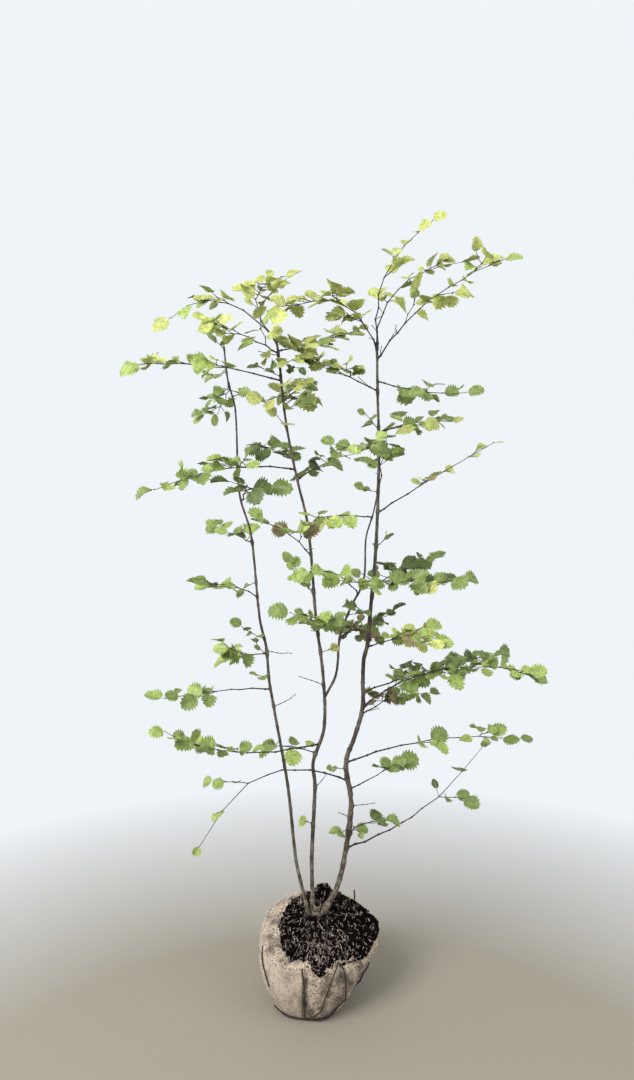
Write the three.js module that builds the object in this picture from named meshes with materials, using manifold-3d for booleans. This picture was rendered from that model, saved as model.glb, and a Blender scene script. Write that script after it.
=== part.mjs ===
// A young multi-stemmed tree, 2 m tall, standing on its root ball in a jute wrap.
// Millimetres, +Z up, +Y away from the viewer. The origin is on the flat underside of the root ball.
import * as THREE from 'three';
import { mergeVertices } from 'three/addons/utils/BufferGeometryUtils.js';
import Module from 'manifold-3d';

const wasm = await Module();
wasm.setup();

// Driving sizes of the root ball
const BALL_SIDES = 24;
const BASE_RADIUS = 103;
const WIDEST_RADIUS = 160;
const WIDEST_HEIGHT = 135;
const BASE_SHIFT = [-18, -20];
const FOOT_ROUND = 9;
const SHOULDER_DROP = 36;
const SHOULDER_HEIGHT = 75;
const FLANK_TUCK = { depth: 20, turn: 1.95 * Math.PI, width: 0.15 };
const RIM_MIDDLE = 178;
const RIM_TILT = 30;
const RIM_WAVE = 6;
const RIM_NOTCH = { depth: 16, turn: 1.51 * Math.PI, width: 0.16 };
const FOLD_DEPTH = 3.5;
const CLOTH = 3;
const CLOTH_RINGS = [0, 0.05, 0.18, 0.38, 0.6, 0.82, 1];
const SOIL_RINGS = [0.8, 0.55, 0.3];
const SOIL_BELOW_RIM = 6;
const SOIL_DOME = 34;
const SOIL_LUMP = { x: 14, y: 84, height: 34, spread: 26 };

// Driving sizes of the collar where the stems meet
const COLLAR = { x: -3, y: -2, z: 205, width: 31, depth: 19, height: 17 };

// Clearances between solids that touch on the real plant
const GAP = 0.35;

// Driving sizes of the wood
const STEM_SIDES = 6;
const BOUGH_SIDES = 5;
const TWIG_SIDES = 3;
const STEM_STEP = 75;
const BOUGH_STEP = 55;
const TWIG_STEP = 62;
const TIP_RADIUS = 1.3;
const FLARE_FADE = 28;
const STEM_FOOT = 206;

// Each stem runs from its foot to its tip, and sways off that line: share of the height, then x and y.
const STEMS = [
  {
    name: 'left_stem', foot: [-23, -8, STEM_FOOT], tip: [-221, 135, 1709], radius: 4.6, end: 2.0, flare: 1.6,
    sways: [[0.04, -5, 0], [0.1, -12, 0], [0.23, -4, -4], [0.41, -12, 0], [0.47, -7, 2], [0.52, -13, 4],
      [0.67, -3, 3], [0.74, -17, 2], [0.89, 5, 2], [0.94, -3, 1]],
  },
  {
    name: 'middle_stem', foot: [-12, 4, STEM_FOOT], tip: [-74, -60, 1703], radius: 5.4, end: 2.3, flare: 1.8,
    sways: [[0.1, 5, 2], [0.24, 26, 2], [0.28, 25, 3], [0.34, 58, 6], [0.43, 64, 12], [0.53, 55, 10],
      [0.69, 49, 5], [0.77, 29, 5], [0.86, 11, 1], [0.96, 4, -2]],
  },
  {
    name: 'right_stem', foot: [9, -5, STEM_FOOT], tip: [177, 45, 1698], radius: 7.0, end: 2.8, flare: 3.2,
    sways: [[0.02, 15, 3], [0.05, 34, 5], [0.1, 46, 5], [0.2, 50, 5], [0.275, 26, 4], [0.32, 42, 3],
      [0.37, 55, 3], [0.42, 49, 4], [0.455, 46, 3], [0.48, 51, 1], [0.53, 51, 1], [0.65, 49, 3],
      [0.82, 32, 0], [0.9, 17, 0]],
  },
  {
    name: 'inner_stem', from: 'middle_stem', height: 795, tip: [186, 105, 1348], radius: 3.4, end: 1.8,
    flare: 0,
    sways: [[0.1, 15, 8], [0.27, 1, 14], [0.4, 9, 14], [0.52, 26, 21], [0.73, 3, 16], [0.84, 5, 9]],
  },
];

// Each spray leaves its stem at a height and reaches out by x, y and z. Its bow bends the middle by x and z.
// Bare is the leafless share of its length, and a bough makes that share a limb of its own.
const SPRAYS = [
  { name: 'leader', stem: 'right_stem', height: 1690, reach: [145, 25, 310], bow: [-45, 25], bare: 0.4,
    leaves: 7, width: 45, size: 0.85, seed: 1 },
  { name: 'top_right', stem: 'right_stem', height: 1655, reach: [290, -115, 210], bow: [-20, 25],
    bare: 0.25, leaves: 15, width: 75, seed: 2 },
  { name: 'top_right_back', stem: 'right_stem', height: 1678, reach: [250, 190, 260], bow: [-60, 40],
    bare: 0.3, leaves: 10, width: 65, seed: 3 },
  { name: 'top_centre', stem: 'right_stem', height: 1672, reach: [-220, -110, 90], bow: [25, 65],
    bare: 0.2, leaves: 14, width: 70, seed: 4 },
  { name: 'top_left_far', stem: 'middle_stem', height: 1690, reach: [-240, -70, 45], bow: [-5, 65],
    bare: 0.35, leaves: 8, width: 55, seed: 5, bough: true },
  { name: 'top_left_high', stem: 'middle_stem', height: 1680, reach: [20, 120, 180], bow: [-60, 35],
    bare: 0.3, leaves: 11, width: 65, seed: 6 },
  { name: 'upper_left', stem: 'middle_stem', height: 1660, reach: [-150, -130, 55], bow: [0, 5],
    bare: 0.15, leaves: 14, width: 75, seed: 7 },
  { name: 'upper_cross', stem: 'middle_stem', height: 1665, reach: [200, 205, 80], bow: [-5, -5],
    bare: 0.1, leaves: 10, width: 65, seed: 8 },
  { name: 'left_arm', stem: 'middle_stem', height: 1595, reach: [-330, -75, 35], bow: [5, 15],
    bare: 0.35, leaves: 14, width: 60, seed: 9, bough: true },
  { name: 'left_top', stem: 'left_stem', height: 1610, reach: [-45, 110, -70], bow: [10, 10], bare: 0.2,
    leaves: 9, width: 60, seed: 10 },
  { name: 'inner_left', stem: 'right_stem', height: 1575, reach: [-220, -110, 100], bow: [-10, 5],
    bare: 0.25, leaves: 15, width: 65, seed: 11 },
  { name: 'middle_upper', stem: 'middle_stem', height: 1545, reach: [55, 225, 75], bow: [-5, -5],
    bare: 0.1, leaves: 9, width: 60, seed: 12 },
  { name: 'right_upper', stem: 'right_stem', height: 1600, reach: [190, -190, -50], bow: [0, -10],
    bare: 0.12, leaves: 11, width: 75, seed: 13 },
  { name: 'right_upper_back', stem: 'right_stem', height: 1465, reach: [185, 235, 45], bow: [-10, 10],
    bare: 0.1, leaves: 14, width: 70, seed: 14 },
  { name: 'centre_green', stem: 'right_stem', height: 1425, reach: [-115, -240, -5], bow: [0, 10],
    bare: 0.3, leaves: 8, width: 60, seed: 15 },
  { name: 'left_long', stem: 'middle_stem', height: 1380, reach: [-315, -160, -40], bow: [-5, 25],
    bare: 0.3, leaves: 13, width: 60, seed: 16, bough: true },
  { name: 'centre_mid', stem: 'middle_stem', height: 1355, reach: [155, 260, 65], bow: [-5, 10],
    bare: 0.1, leaves: 8, width: 60, seed: 17 },
  { name: 'left_crossing', stem: 'middle_stem', height: 1405, reach: [-100, 245, 50], bow: [5, -5],
    bare: 0.3, leaves: 7, width: 60, seed: 18 },
  { name: 'left_cluster', stem: 'left_stem', height: 1300, reach: [45, -250, 35], bow: [5, 15],
    bare: 0.25, leaves: 10, width: 75, seed: 19 },
  { name: 'left_mid', stem: 'left_stem', height: 1190, reach: [-120, 150, 25], bow: [5, 5], bare: 0.25,
    leaves: 8, width: 60, seed: 20 },
  { name: 'centre_ring', stem: 'middle_stem', height: 1165, reach: [-105, -140, 95], bow: [5, 10],
    bare: 0.25, leaves: 7, width: 60, seed: 21 },
  { name: 'centre_fan', stem: 'inner_stem', height: 1250, reach: [-150, -200, 15], bow: [5, 5],
    bare: 0.25, leaves: 9, width: 75, seed: 22 },
  { name: 'inner_top', stem: 'inner_stem', height: 1335, reach: [30, 110, 125], bow: [0, 10], bare: 0.25,
    leaves: 7, width: 55, seed: 23 },
  { name: 'right_arm', stem: 'right_stem', height: 1265, reach: [275, -100, 170], bow: [-5, 0],
    bare: 0.3, leaves: 8, width: 50, size: 0.7, seed: 24, bough: true },
  { name: 'right_mid', stem: 'inner_stem', height: 1085, reach: [200, -190, 20], bow: [-5, 0],
    bare: 0.25, leaves: 14, width: 75, seed: 25 },
  { name: 'right_mid_back', stem: 'right_stem', height: 1055, reach: [185, 225, 60], bow: [-20, 15],
    bare: 0.25, leaves: 9, width: 65, seed: 26 },
  { name: 'inner_fan_low', stem: 'inner_stem', height: 1050, reach: [-85, -190, 90], bow: [10, 10],
    bare: 0.3, leaves: 9, width: 60, seed: 27 },
  { name: 'left_low_mid', stem: 'left_stem', height: 1045, reach: [-130, -140, 55], bow: [5, 15],
    bare: 0.25, leaves: 8, width: 60, seed: 28 },
  { name: 'middle_front', stem: 'middle_stem', height: 960, reach: [-20, -190, 85], bow: [0, 5],
    bare: 0.3, leaves: 10, width: 65, seed: 29 },
  { name: 'tangle', stem: 'inner_stem', height: 935, reach: [75, 190, -25], bow: [0, 20], bare: 0.25,
    leaves: 10, width: 70, seed: 30 },
  { name: 'right_low_mid', stem: 'right_stem', height: 920, reach: [155, -200, 55], bow: [10, 15],
    bare: 0.25, leaves: 9, width: 70, seed: 31 },
  { name: 'left_low', stem: 'left_stem', height: 900, reach: [-95, -150, 60], bow: [-5, -15], bare: 0.2,
    leaves: 8, width: 60, seed: 32 },
  { name: 'left_low_arm', stem: 'left_stem', height: 805, reach: [-300, 100, -50], bow: [10, 10],
    bare: 0.45, leaves: 6, width: 50, seed: 33, bough: true },
  { name: 'low_left', stem: 'middle_stem', height: 675, reach: [-355, -200, 105], bow: [-25, -35],
    bare: 0.45, leaves: 11, width: 70, seed: 34, bough: true },
  { name: 'low_centre_left', stem: 'middle_stem', height: 650, reach: [-135, 90, -10], bow: [0, 10],
    bare: 0.1, leaves: 6, width: 50, seed: 35 },
  { name: 'low_sweep', stem: 'right_stem', height: 565, reach: [-365, -175, -85], bow: [-30, 95],
    bare: 0.5, leaves: 5, width: 110, size: 0.6, seed: 36, bough: true },
  { name: 'right_low_arm', stem: 'right_stem', height: 760, reach: [400, -130, 120], bow: [-15, 50],
    bare: 0.2, leaves: 19, width: 75, seed: 37, bough: true },
  { name: 'right_low_back', stem: 'right_stem', height: 800, reach: [385, 165, 60], bow: [-20, 0],
    bare: 0.3, leaves: 12, width: 65, seed: 38 },
  { name: 'right_low_inner', stem: 'right_stem', height: 740, reach: [205, 190, 0], bow: [-10, 15],
    bare: 0.3, leaves: 7, width: 55, seed: 39 },
  { name: 'right_foot_arm', stem: 'right_stem', height: 615, reach: [460, 55, 35], bow: [-5, 30],
    bare: 0.35, leaves: 10, width: 60, seed: 40, bough: true },
  { name: 'right_foot_inner', stem: 'right_stem', height: 545, reach: [105, -190, 135], bow: [5, 0],
    bare: 0.45, leaves: 5, width: 55, seed: 41 },
  { name: 'right_whip', stem: 'right_stem', height: 385, reach: [390, 165, 205], bow: [25, -30],
    bare: 0.5, leaves: 5, width: 60, size: 0.9, seed: 42, bough: true },
  { name: 'foot_front', stem: 'right_stem', height: 425, reach: [75, -150, 95], bow: [-5, 10], bare: 0.4,
    leaves: 4, width: 50, size: 0.75, seed: 43 },
];

// Driving sizes of a leaf, as shares of its length: along the midrib, then half the width
const LEAF_LENGTH = 57;
const LEAF_OUTLINE = [[0.15, 0.02], [0.33, 0.37], [0.73, 0.37]];
const LEAF_THICK = 0.045;
const LEAF_MIDDLE = 0.36;
const LEAF_SUNK = 0.4;
const LEAF_BALL = 0.19;
const LEAF_CLEAR = 2;

// Materials by what they look like
const finish = (color, roughness) => new THREE.MeshStandardMaterial({ color, roughness, metalness: 0 });
const JUTE = finish(0xb59a78, 0.95);
const SOIL = finish(0x2a211c, 0.98);
const BARK = finish(0x7d7060, 0.85);
const FOLIAGE = finish(0x7fa03a, 0.6);

const plant = new THREE.Group();
const limbs = new Map();
const obstacles = [];

// Solids from rings of points, capped at both ends. Nested shells are cut into facets alike: one runs its
// rings up and the other down, so one of them has its facets mirrored.
function loft(rings, mirrored = false) {
  const sides = rings[0].length;
  const points = rings.flat();
  const faces = [];
  for (let ring = 0; ring + 1 < rings.length; ring += 1) {
    for (let side = 0; side < sides; side += 1) {
      const next = (side + 1) % sides;
      const [a, b] = [ring * sides + side, ring * sides + next];
      if (mirrored) {
        faces.push([a, b, a + sides], [b, b + sides, a + sides]);
      } else {
        faces.push([a, b, b + sides], [a, b + sides, a + sides]);
      }
    }
  }
  const last = (rings.length - 1) * sides;
  for (let side = 1; side + 1 < sides; side += 1) {
    faces.push([0, side + 1, side], [last, last + side, last + side + 1]);
  }
  return solidOf(points, faces);
}

function solidOf(points, faces) {
  const geometry = new THREE.BufferGeometry();
  geometry.setAttribute('position', new THREE.Float32BufferAttribute(points.flatMap((p) => p.toArray()), 3));
  geometry.setIndex(faces.flat());
  const merged = mergeVertices(geometry);
  return new wasm.Manifold(new wasm.Mesh({
    numProp: 3,
    vertProperties: new Float32Array(merged.attributes.position.array),
    triVerts: new Uint32Array(merged.index.array),
  }));
}

// The largest body of a solid: loose scraps are dropped
function wholeBody(solid) {
  const bodies = solid.decompose().sort((a, b) => b.volume() - a.volume());
  return bodies[0];
}

function addPiece(name, solid, material) {
  const mesh = wholeBody(solid).getMesh();
  const geometry = new THREE.BufferGeometry();
  geometry.setAttribute('position', new THREE.BufferAttribute(mesh.vertProperties, 3));
  geometry.setIndex(new THREE.BufferAttribute(mesh.triVerts, 1));
  geometry.computeVertexNormals();
  const piece = new THREE.Mesh(geometry, material);
  piece.name = name;
  plant.add(piece);
}

// A tapering tube through points, with its section turned along without twist
function tube(points, radii, sides) {
  const heading = points.map((point, i) => {
    const before = points[Math.max(0, i - 1)];
    const after = points[Math.min(points.length - 1, i + 1)];
    return after.clone().sub(before).normalize();
  });
  let across = sideOf(heading[0]);
  const rings = points.map((point, i) => {
    across = across.clone().addScaledVector(heading[i], -across.dot(heading[i])).normalize();
    const up = heading[i].clone().cross(across);
    return Array.from({ length: sides }, (_, side) => {
      const turn = (2 * Math.PI * side) / sides;
      return point.clone()
        .addScaledVector(across, radii[i] * Math.cos(turn))
        .addScaledVector(up, radii[i] * Math.sin(turn));
    });
  });
  return loft(rings);
}

// A level direction square to a heading
function sideOf(heading) {
  const upright = Math.abs(heading.z) > 0.92 ? new THREE.Vector3(0, 1, 0) : new THREE.Vector3(0, 0, 1);
  return upright.cross(heading).normalize();
}

function seeded(seed) {
  let state = (seed * 7919 + 12345) >>> 0;
  return () => {
    state = (Math.imul(state, 1664525) + 1013904223) >>> 0;
    return state / 4294967296;
  };
}

const spread = (random, low, high) => low + (high - low) * random();

// Root ball

function rimHeight(turn) {
  const notch = RIM_NOTCH.depth * Math.exp(-(((turn - RIM_NOTCH.turn) / RIM_NOTCH.width) ** 2));
  return RIM_MIDDLE + RIM_TILT * Math.sin(turn) + RIM_WAVE * Math.sin(3 * turn + 0.2) - notch;
}

function ballRadius(turn, height) {
  const rise = Math.min(1, height / WIDEST_HEIGHT);
  const belly = BASE_RADIUS + (WIDEST_RADIUS - BASE_RADIUS) * Math.sin((rise * Math.PI) / 2) ** 0.9;
  const above = Math.max(0, (height - WIDEST_HEIGHT - 5) / SHOULDER_HEIGHT);
  const foot = FOOT_ROUND * Math.max(0, 1 - height / FOOT_ROUND) ** 2;
  const beside = (Math.cos(turn - FLANK_TUCK.turn) - 1) / FLANK_TUCK.width;
  const tuck = FLANK_TUCK.depth * Math.exp(beside) * (1 - rise ** 2);
  const folds = FOLD_DEPTH * (0.35 + 0.65 * rise) * (Math.sin(5 * turn + 0.6) + 0.6 * Math.sin(9 * turn + 2));
  return belly - SHOULDER_DROP * above ** 1.3 - foot - tuck + folds;
}

function ballPoint(turn, height, inset) {
  const radius = ballRadius(turn, height) - inset;
  const low = Math.max(0, 1 - height / WIDEST_HEIGHT);
  return new THREE.Vector3(
    BASE_SHIFT[0] * low + radius * Math.cos(turn),
    BASE_SHIFT[1] * low + radius * Math.sin(turn),
    height,
  );
}

const ballTurns = Array.from({ length: BALL_SIDES }, (_, i) => (2 * Math.PI * i) / BALL_SIDES);

const clothRing = (share, inset, floor) => ballTurns.map((turn) => {
  const point = ballPoint(turn, rimHeight(turn) * share, inset);
  return point.setZ(Math.max(floor, point.z));
});

function jutewrap() {
  const outside = CLOTH_RINGS.map((share) => clothRing(share, 0, 0));
  const inside = CLOTH_RINGS.map((share) => clothRing(share, CLOTH, CLOTH)).reverse();
  return loft([...outside, ...inside]);
}

function soilHeight(x, y) {
  const reach = Math.min(1, Math.hypot(x, y) / WIDEST_RADIUS);
  const lump = Math.hypot(x - SOIL_LUMP.x, y - SOIL_LUMP.y) / SOIL_LUMP.spread;
  return RIM_MIDDLE - SOIL_BELOW_RIM + RIM_TILT * (y / WIDEST_RADIUS)
    + SOIL_DOME * (1 - reach ** 2) + SOIL_LUMP.height * Math.exp(-(lump ** 2));
}

function soilBall() {
  const inset = CLOTH + 2 * GAP;
  const sides = CLOTH_RINGS.map((share) => ballTurns.map((turn) => {
    const point = ballPoint(turn, rimHeight(turn) * share, inset);
    const lift = share === 1 ? -SOIL_BELOW_RIM : 0;
    return point.setZ(Math.max(CLOTH + GAP, point.z + lift));
  }));
  const edge = sides.at(-1);
  const top = SOIL_RINGS.map((share) => edge.map((point) => {
    const [x, y] = [point.x * share, point.y * share];
    return new THREE.Vector3(x, y, soilHeight(x, y));
  }));
  return loft([...sides, ...top], true);
}

// Stems

function swayAt(sways, share) {
  const nodes = [[0, 0, 0], ...sways, [1, 0, 0]];
  let i = 0;
  while (i + 2 < nodes.length && share > nodes[i + 1][0]) {
    i += 1;
  }
  const [before, from] = [nodes[Math.max(0, i - 1)], nodes[i]];
  const [to, after] = [nodes[i + 1], nodes[Math.min(nodes.length - 1, i + 2)]];
  const span = to[0] - from[0];
  const u = (share - from[0]) / span;
  return [1, 2].map((axis) => {
    const leave = ((to[axis] - before[axis]) / (to[0] - before[0])) * span;
    const arrive = ((after[axis] - from[axis]) / (after[0] - from[0])) * span;
    return from[axis] * (2 * u ** 3 - 3 * u ** 2 + 1) + leave * (u ** 3 - 2 * u ** 2 + u)
      + to[axis] * (3 * u ** 2 - 2 * u ** 3) + arrive * (u ** 3 - u ** 2);
  });
}

function stemPoint(stem, height) {
  const share = Math.min(1, Math.max(0, (height - stem.foot[2]) / (stem.tip[2] - stem.foot[2])));
  const [x, y] = swayAt(stem.sways, share);
  return new THREE.Vector3(
    stem.foot[0] + (stem.tip[0] - stem.foot[0]) * share + x,
    stem.foot[1] + (stem.tip[1] - stem.foot[1]) * share + y,
    stem.foot[2] + (stem.tip[2] - stem.foot[2]) * share,
  );
}

function stemRadius(stem, height) {
  const share = (height - stem.foot[2]) / (stem.tip[2] - stem.foot[2]);
  const flare = stem.flare * Math.exp(-(height - stem.foot[2]) / FLARE_FADE);
  return stem.radius + (stem.end - stem.radius) * share + flare;
}

function stemRoute(stem) {
  const length = stem.tip[2] - stem.foot[2];
  const steps = Math.round(length / STEM_STEP);
  const heights = Array.from({ length: steps + 1 }, (_, i) => stem.foot[2] + (length * i) / steps);
  if (stem.flare > 0) {
    heights.splice(1, 0, stem.foot[2] + FLARE_FADE);
  }
  return heights.map((height) => ({ point: stemPoint(stem, height), radius: stemRadius(stem, height) }));
}

// The point where a stem's solid has its axis at a height
function axisPoint(route, height) {
  const i = Math.max(1, route.findIndex((r) => r.point.z >= height));
  const [from, to] = [route[i - 1].point, route[i].point];
  return from.clone().lerp(to, (height - from.z) / (to.z - from.z));
}

function tubeOf(route, sides, extra) {
  return tube(route.map((r) => r.point), route.map((r) => r.radius + extra), sides);
}

function block(route, owner) {
  for (let i = 0; i + 1 < route.length; i += 1) {
    const radius = Math.max(route[i].radius, route[i + 1].radius);
    obstacles.push({ from: route[i].point, to: route[i + 1].point, radius, owner });
  }
}

function makeStems() {
  for (const stem of STEMS) {
    if (stem.from) {
      stem.foot = axisPoint(limbs.get(stem.from).route, stem.height).toArray();
    }
    const route = stemRoute(stem);
    let solid = tubeOf(route, STEM_SIDES, 0);
    if (stem.from) {
      solid = solid.subtract(limbs.get(stem.from).swollen);
    }
    limbs.set(stem.name, { route, swollen: tubeOf(route, STEM_SIDES, GAP) });
    block(route, stem.name);
    addPiece(stem.name, solid, BARK);
  }
}

// The collar is a low lump, wider towards the heavy stem, that the stems' feet are sunk in.
function collar() {
  const lump = new THREE.IcosahedronGeometry(1, 1);
  lump.deleteAttribute('normal');
  lump.deleteAttribute('uv');
  const merged = mergeVertices(lump);
  const points = [];
  for (let i = 0; i < merged.attributes.position.count; i += 1) {
    const point = new THREE.Vector3().fromBufferAttribute(merged.attributes.position, i);
    const knob = 1 + 0.09 * Math.sin(5 * point.x + 2 * point.y) * Math.cos(4 * point.z);
    points.push(new THREE.Vector3(
      COLLAR.x + point.x * COLLAR.width * knob,
      COLLAR.y + point.y * COLLAR.depth * knob,
      COLLAR.z + point.z * COLLAR.height * knob,
    ));
  }
  const faces = [];
  for (let i = 0; i < merged.index.count; i += 3) {
    faces.push([0, 1, 2].map((corner) => merged.index.getX(i + corner)));
  }
  return solidOf(points, faces);
}

// Boughs and sprays

function limbPoint(spray, share) {
  const bend = 4 * share * (1 - share);
  return new THREE.Vector3(
    spray.root.x + spray.reach[0] * share + spray.bow[0] * bend,
    spray.root.y + spray.reach[1] * share,
    spray.root.z + spray.reach[2] * share + spray.bow[1] * bend,
  );
}

function limbRadius(spray, share) {
  const thick = TIP_RADIUS + Math.hypot(...spray.reach) / 420;
  return thick + (TIP_RADIUS - thick) * share;
}

function boughRoute(spray) {
  const length = Math.hypot(...spray.reach) * spray.bare;
  const steps = Math.max(2, Math.round(length / BOUGH_STEP));
  return Array.from({ length: steps + 1 }, (_, i) => {
    const share = (spray.bare * i) / steps;
    return { point: limbPoint(spray, share), radius: limbRadius(spray, share) };
  });
}

// The spray's own stem, from its start to its tip
function sprayAxis(spray) {
  const start = spray.bough ? spray.bare + GAP / Math.hypot(...spray.reach) : 0;
  const steps = Math.max(2, Math.round((Math.hypot(...spray.reach) * (1 - start)) / TWIG_STEP));
  return Array.from({ length: steps + 1 }, (_, i) => {
    const share = start + ((1 - start) * i) / steps;
    return { point: limbPoint(spray, share), radius: limbRadius(spray, share), share };
  });
}

// A node on that stem, at a share of the spray's length
function nodeAt(axis, share) {
  const i = axis.findIndex((r) => r.share >= share - 1e-6);
  const [from, to] = [axis[Math.max(0, i - 1)], axis[Math.max(1, i)]];
  const point = from.point.clone().lerp(to.point, (share - from.share) / (to.share - from.share));
  return { point, heading: to.point.clone().sub(from.point).normalize() };
}

function leafAt(base, along, sign, turn, length, random) {
  const across = sideOf(along).multiplyScalar(sign);
  const tip = along.clone().multiplyScalar(Math.cos(turn)).addScaledVector(across, Math.sin(turn));
  tip.z -= spread(random, -0.45, 0.5);
  tip.normalize();
  const face = new THREE.Vector3(spread(random, -0.6, 0.6), spread(random, -1.5, 0.1), 0.8);
  face.addScaledVector(tip, -face.dot(tip)).normalize();
  return { base: base.clone(), tip, face, across: face.clone().cross(tip), length };
}

// Balls that cover a leaf, for the test of what it touches
function leafBalls(leaf) {
  const balls = [];
  for (const [along, aside] of [[0.3, 0], [0.36, 0.2], [0.36, -0.2], [0.56, 0], [0.6, 0.24], [0.6, -0.24],
    [0.82, 0.1], [0.82, -0.1]]) {
    const centre = leaf.base.clone()
      .addScaledVector(leaf.tip, along * leaf.length)
      .addScaledVector(leaf.across, aside * leaf.length);
    balls.push({ from: centre, to: centre, radius: LEAF_BALL * leaf.length });
  }
  return balls;
}

function nearestApproach(a, b) {
  const line = new THREE.Line3(b.from, b.to);
  const steps = Math.max(1, Math.ceil(a.from.distanceTo(a.to) / 8));
  let nearest = Infinity;
  for (let i = 0; i <= steps; i += 1) {
    const point = a.from.clone().lerp(a.to, i / steps);
    nearest = Math.min(nearest, line.closestPointToPoint(point, true, new THREE.Vector3()).distanceTo(point));
  }
  return nearest - a.radius - b.radius;
}

function isBlocked(shapes, owner) {
  return shapes.some((shape) => obstacles.some((other) => other.owner !== owner
    && nearestApproach(shape, other) < LEAF_CLEAR));
}

const segmentsOf = (route) => route.slice(1).map((r, i) => (
  { from: route[i].point, to: r.point, radius: Math.max(r.radius, route[i].radius) }));

// One side twig, with a leaf on each side of it and one at its tip
function growTwig(spray, node, sign, late, random) {
  const along = node.heading;
  const across = sideOf(along).multiplyScalar(sign);
  const turn = spread(random, 0.65, 1.1);
  const length = spray.width * spread(random, 0.75, 1.25) * (1 - 0.4 * late);
  const heading = along.clone().multiplyScalar(Math.cos(turn)).addScaledVector(across, Math.sin(turn));
  heading.z += spread(random, -0.2, 0.3);
  heading.normalize();
  const bend = along.clone().multiplyScalar(length * 0.1);
  const end = node.point.clone().addScaledVector(heading, length).add(bend);
  const route = [
    { point: node.point.clone(), radius: TIP_RADIUS + 0.1 },
    { point: end, radius: TIP_RADIUS - 0.1 },
  ];
  const leaves = [
    leafAt(route[0].point.clone().lerp(end, 0.62), heading, -sign, spread(random, 0.7, 1.1),
      leafLength(spray, late, random), random),
    leafAt(route[0].point.clone().lerp(end, 0.3), heading, sign, spread(random, 0.7, 1.2),
      leafLength(spray, late, random), random),
    leafAt(end, heading, sign, spread(random, -0.15, 0.3), leafLength(spray, late, random), random),
  ];
  return { route, leaves };
}

const leafLength = (spray, late, random) => (spray.size ?? 1) * LEAF_LENGTH
  * spread(random, 0.72, 1.18) * (1 - 0.18 * late);

// The seeded rule of a spray: every third node bears a side twig, the others one leaf, and its tip a leaf
function growSpray(spray) {
  const random = seeded(spray.seed);
  const twigCount = Math.floor(spray.leaves / 4);
  const nodeCount = Math.max(1, spray.leaves - 1 - 2 * twigCount);
  const axis = sprayAxis(spray);
  const twigs = [];
  const leaves = [];
  for (let i = 0; i < nodeCount; i += 1) {
    const node = nodeAt(axis, spray.bare + ((1 - spray.bare) * (i + 0.5)) / (nodeCount + 0.4));
    const sign = (i % 2 ? -1 : 1) * (spray.seed % 2 ? 1 : -1);
    const late = i / nodeCount;
    if (i % 3 === 0 && twigs.length < twigCount) {
      const tries = [sign, -sign].map((way) => growTwig(spray, node, way, late, random));
      const twig = tries.find((grown) => !isBlocked(segmentsOf(grown.route), spray.name));
      if (twig) {
        twigs.push(twig.route);
        leaves.push(...twig.leaves);
      }
    } else {
      const length = leafLength(spray, late, random);
      leaves.push(leafAt(node.point, node.heading, sign, spread(random, 0.7, 1.2), length, random));
    }
  }
  const tip = nodeAt(axis, 1);
  const last = leafLength(spray, 0.6, random);
  leaves.push(leafAt(tip.point, tip.heading, 1, spread(random, -0.2, 0.3), last, random));
  return { axis, twigs, leaves: leaves.filter((leaf) => !isBlocked(leafBalls(leaf), spray.name)) };
}

function leafSolid(leaf) {
  const at = (along, aside, proud) => leaf.base.clone()
    .addScaledVector(leaf.tip, along * leaf.length - (along === 0 ? LEAF_SUNK : 0))
    .addScaledVector(leaf.across, aside * leaf.length)
    .addScaledVector(leaf.face, proud * leaf.length);
  const there = LEAF_OUTLINE.map(([along, aside]) => at(along, aside, 0));
  const back = LEAF_OUTLINE.map(([along, aside]) => at(along, -aside, 0)).reverse();
  const edge = [at(0, 0, 0), ...there, at(1, 0, 0), ...back];
  const points = [...edge, at(LEAF_MIDDLE, 0, LEAF_THICK / 2), at(LEAF_MIDDLE, 0, -LEAF_THICK / 2)];
  const faces = edge.flatMap((_, i) => {
    const next = (i + 1) % edge.length;
    return [[edge.length, next, i], [edge.length + 1, i, next]];
  });
  return solidOf(points, faces);
}

function makeSprays() {
  const gathered = SPRAYS.map((spray) => {
    const { route, swollen } = limbs.get(spray.stem);
    return { ...spray, root: axisPoint(route, spray.height), swollen };
  });
  for (const spray of gathered) {
    block(sprayAxis(spray), spray.name);
    if (spray.bough) {
      const route = boughRoute(spray);
      block(route, `${spray.name}_bough`);
      addPiece(`${spray.name}_bough`, tubeOf(route, BOUGH_SIDES, 0).subtract(spray.swollen), BARK);
    }
  }
  for (const spray of gathered) {
    const { axis, twigs, leaves } = growSpray(spray);
    for (const twig of twigs) {
      block(twig, spray.name);
    }
    for (const ball of leaves.flatMap(leafBalls)) {
      obstacles.push({ ...ball, owner: spray.name });
    }
    const wood = [axis, ...twigs].map((route) => tubeOf(route, TWIG_SIDES, 0));
    const whole = [...wood, ...leaves.map(leafSolid)].reduce((sum, piece) => sum.add(piece));
    addPiece(`${spray.name}_spray`, spray.bough ? whole : whole.subtract(spray.swollen), FOLIAGE);
  }
}

makeStems();
const feet = ['left_stem', 'middle_stem', 'right_stem'].map((name) => limbs.get(name).swollen);
const pocket = feet.reduce((sum, foot) => sum.add(foot), collar());
addPiece('root_collar', feet.reduce((sum, foot) => sum.subtract(foot), collar()), BARK);
addPiece('jute_wrap', jutewrap(), JUTE);
addPiece('soil_ball', soilBall().subtract(pocket), SOIL);
makeSprays();

export default plant;
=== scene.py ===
"""A young multi-stemmed tree, 2 m tall, standing on its root ball in a jute wrap.

Laid out as a Blender add-on. Run as a script, it loads the construction solids as a fixed frame and dresses
them: barked stems and boughs, zigzag twigs, toothed leaves, a lapped jute wrap and a mound of fibrous soil.
"""
import math
from functools import lru_cache, wraps
from types import SimpleNamespace

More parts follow.
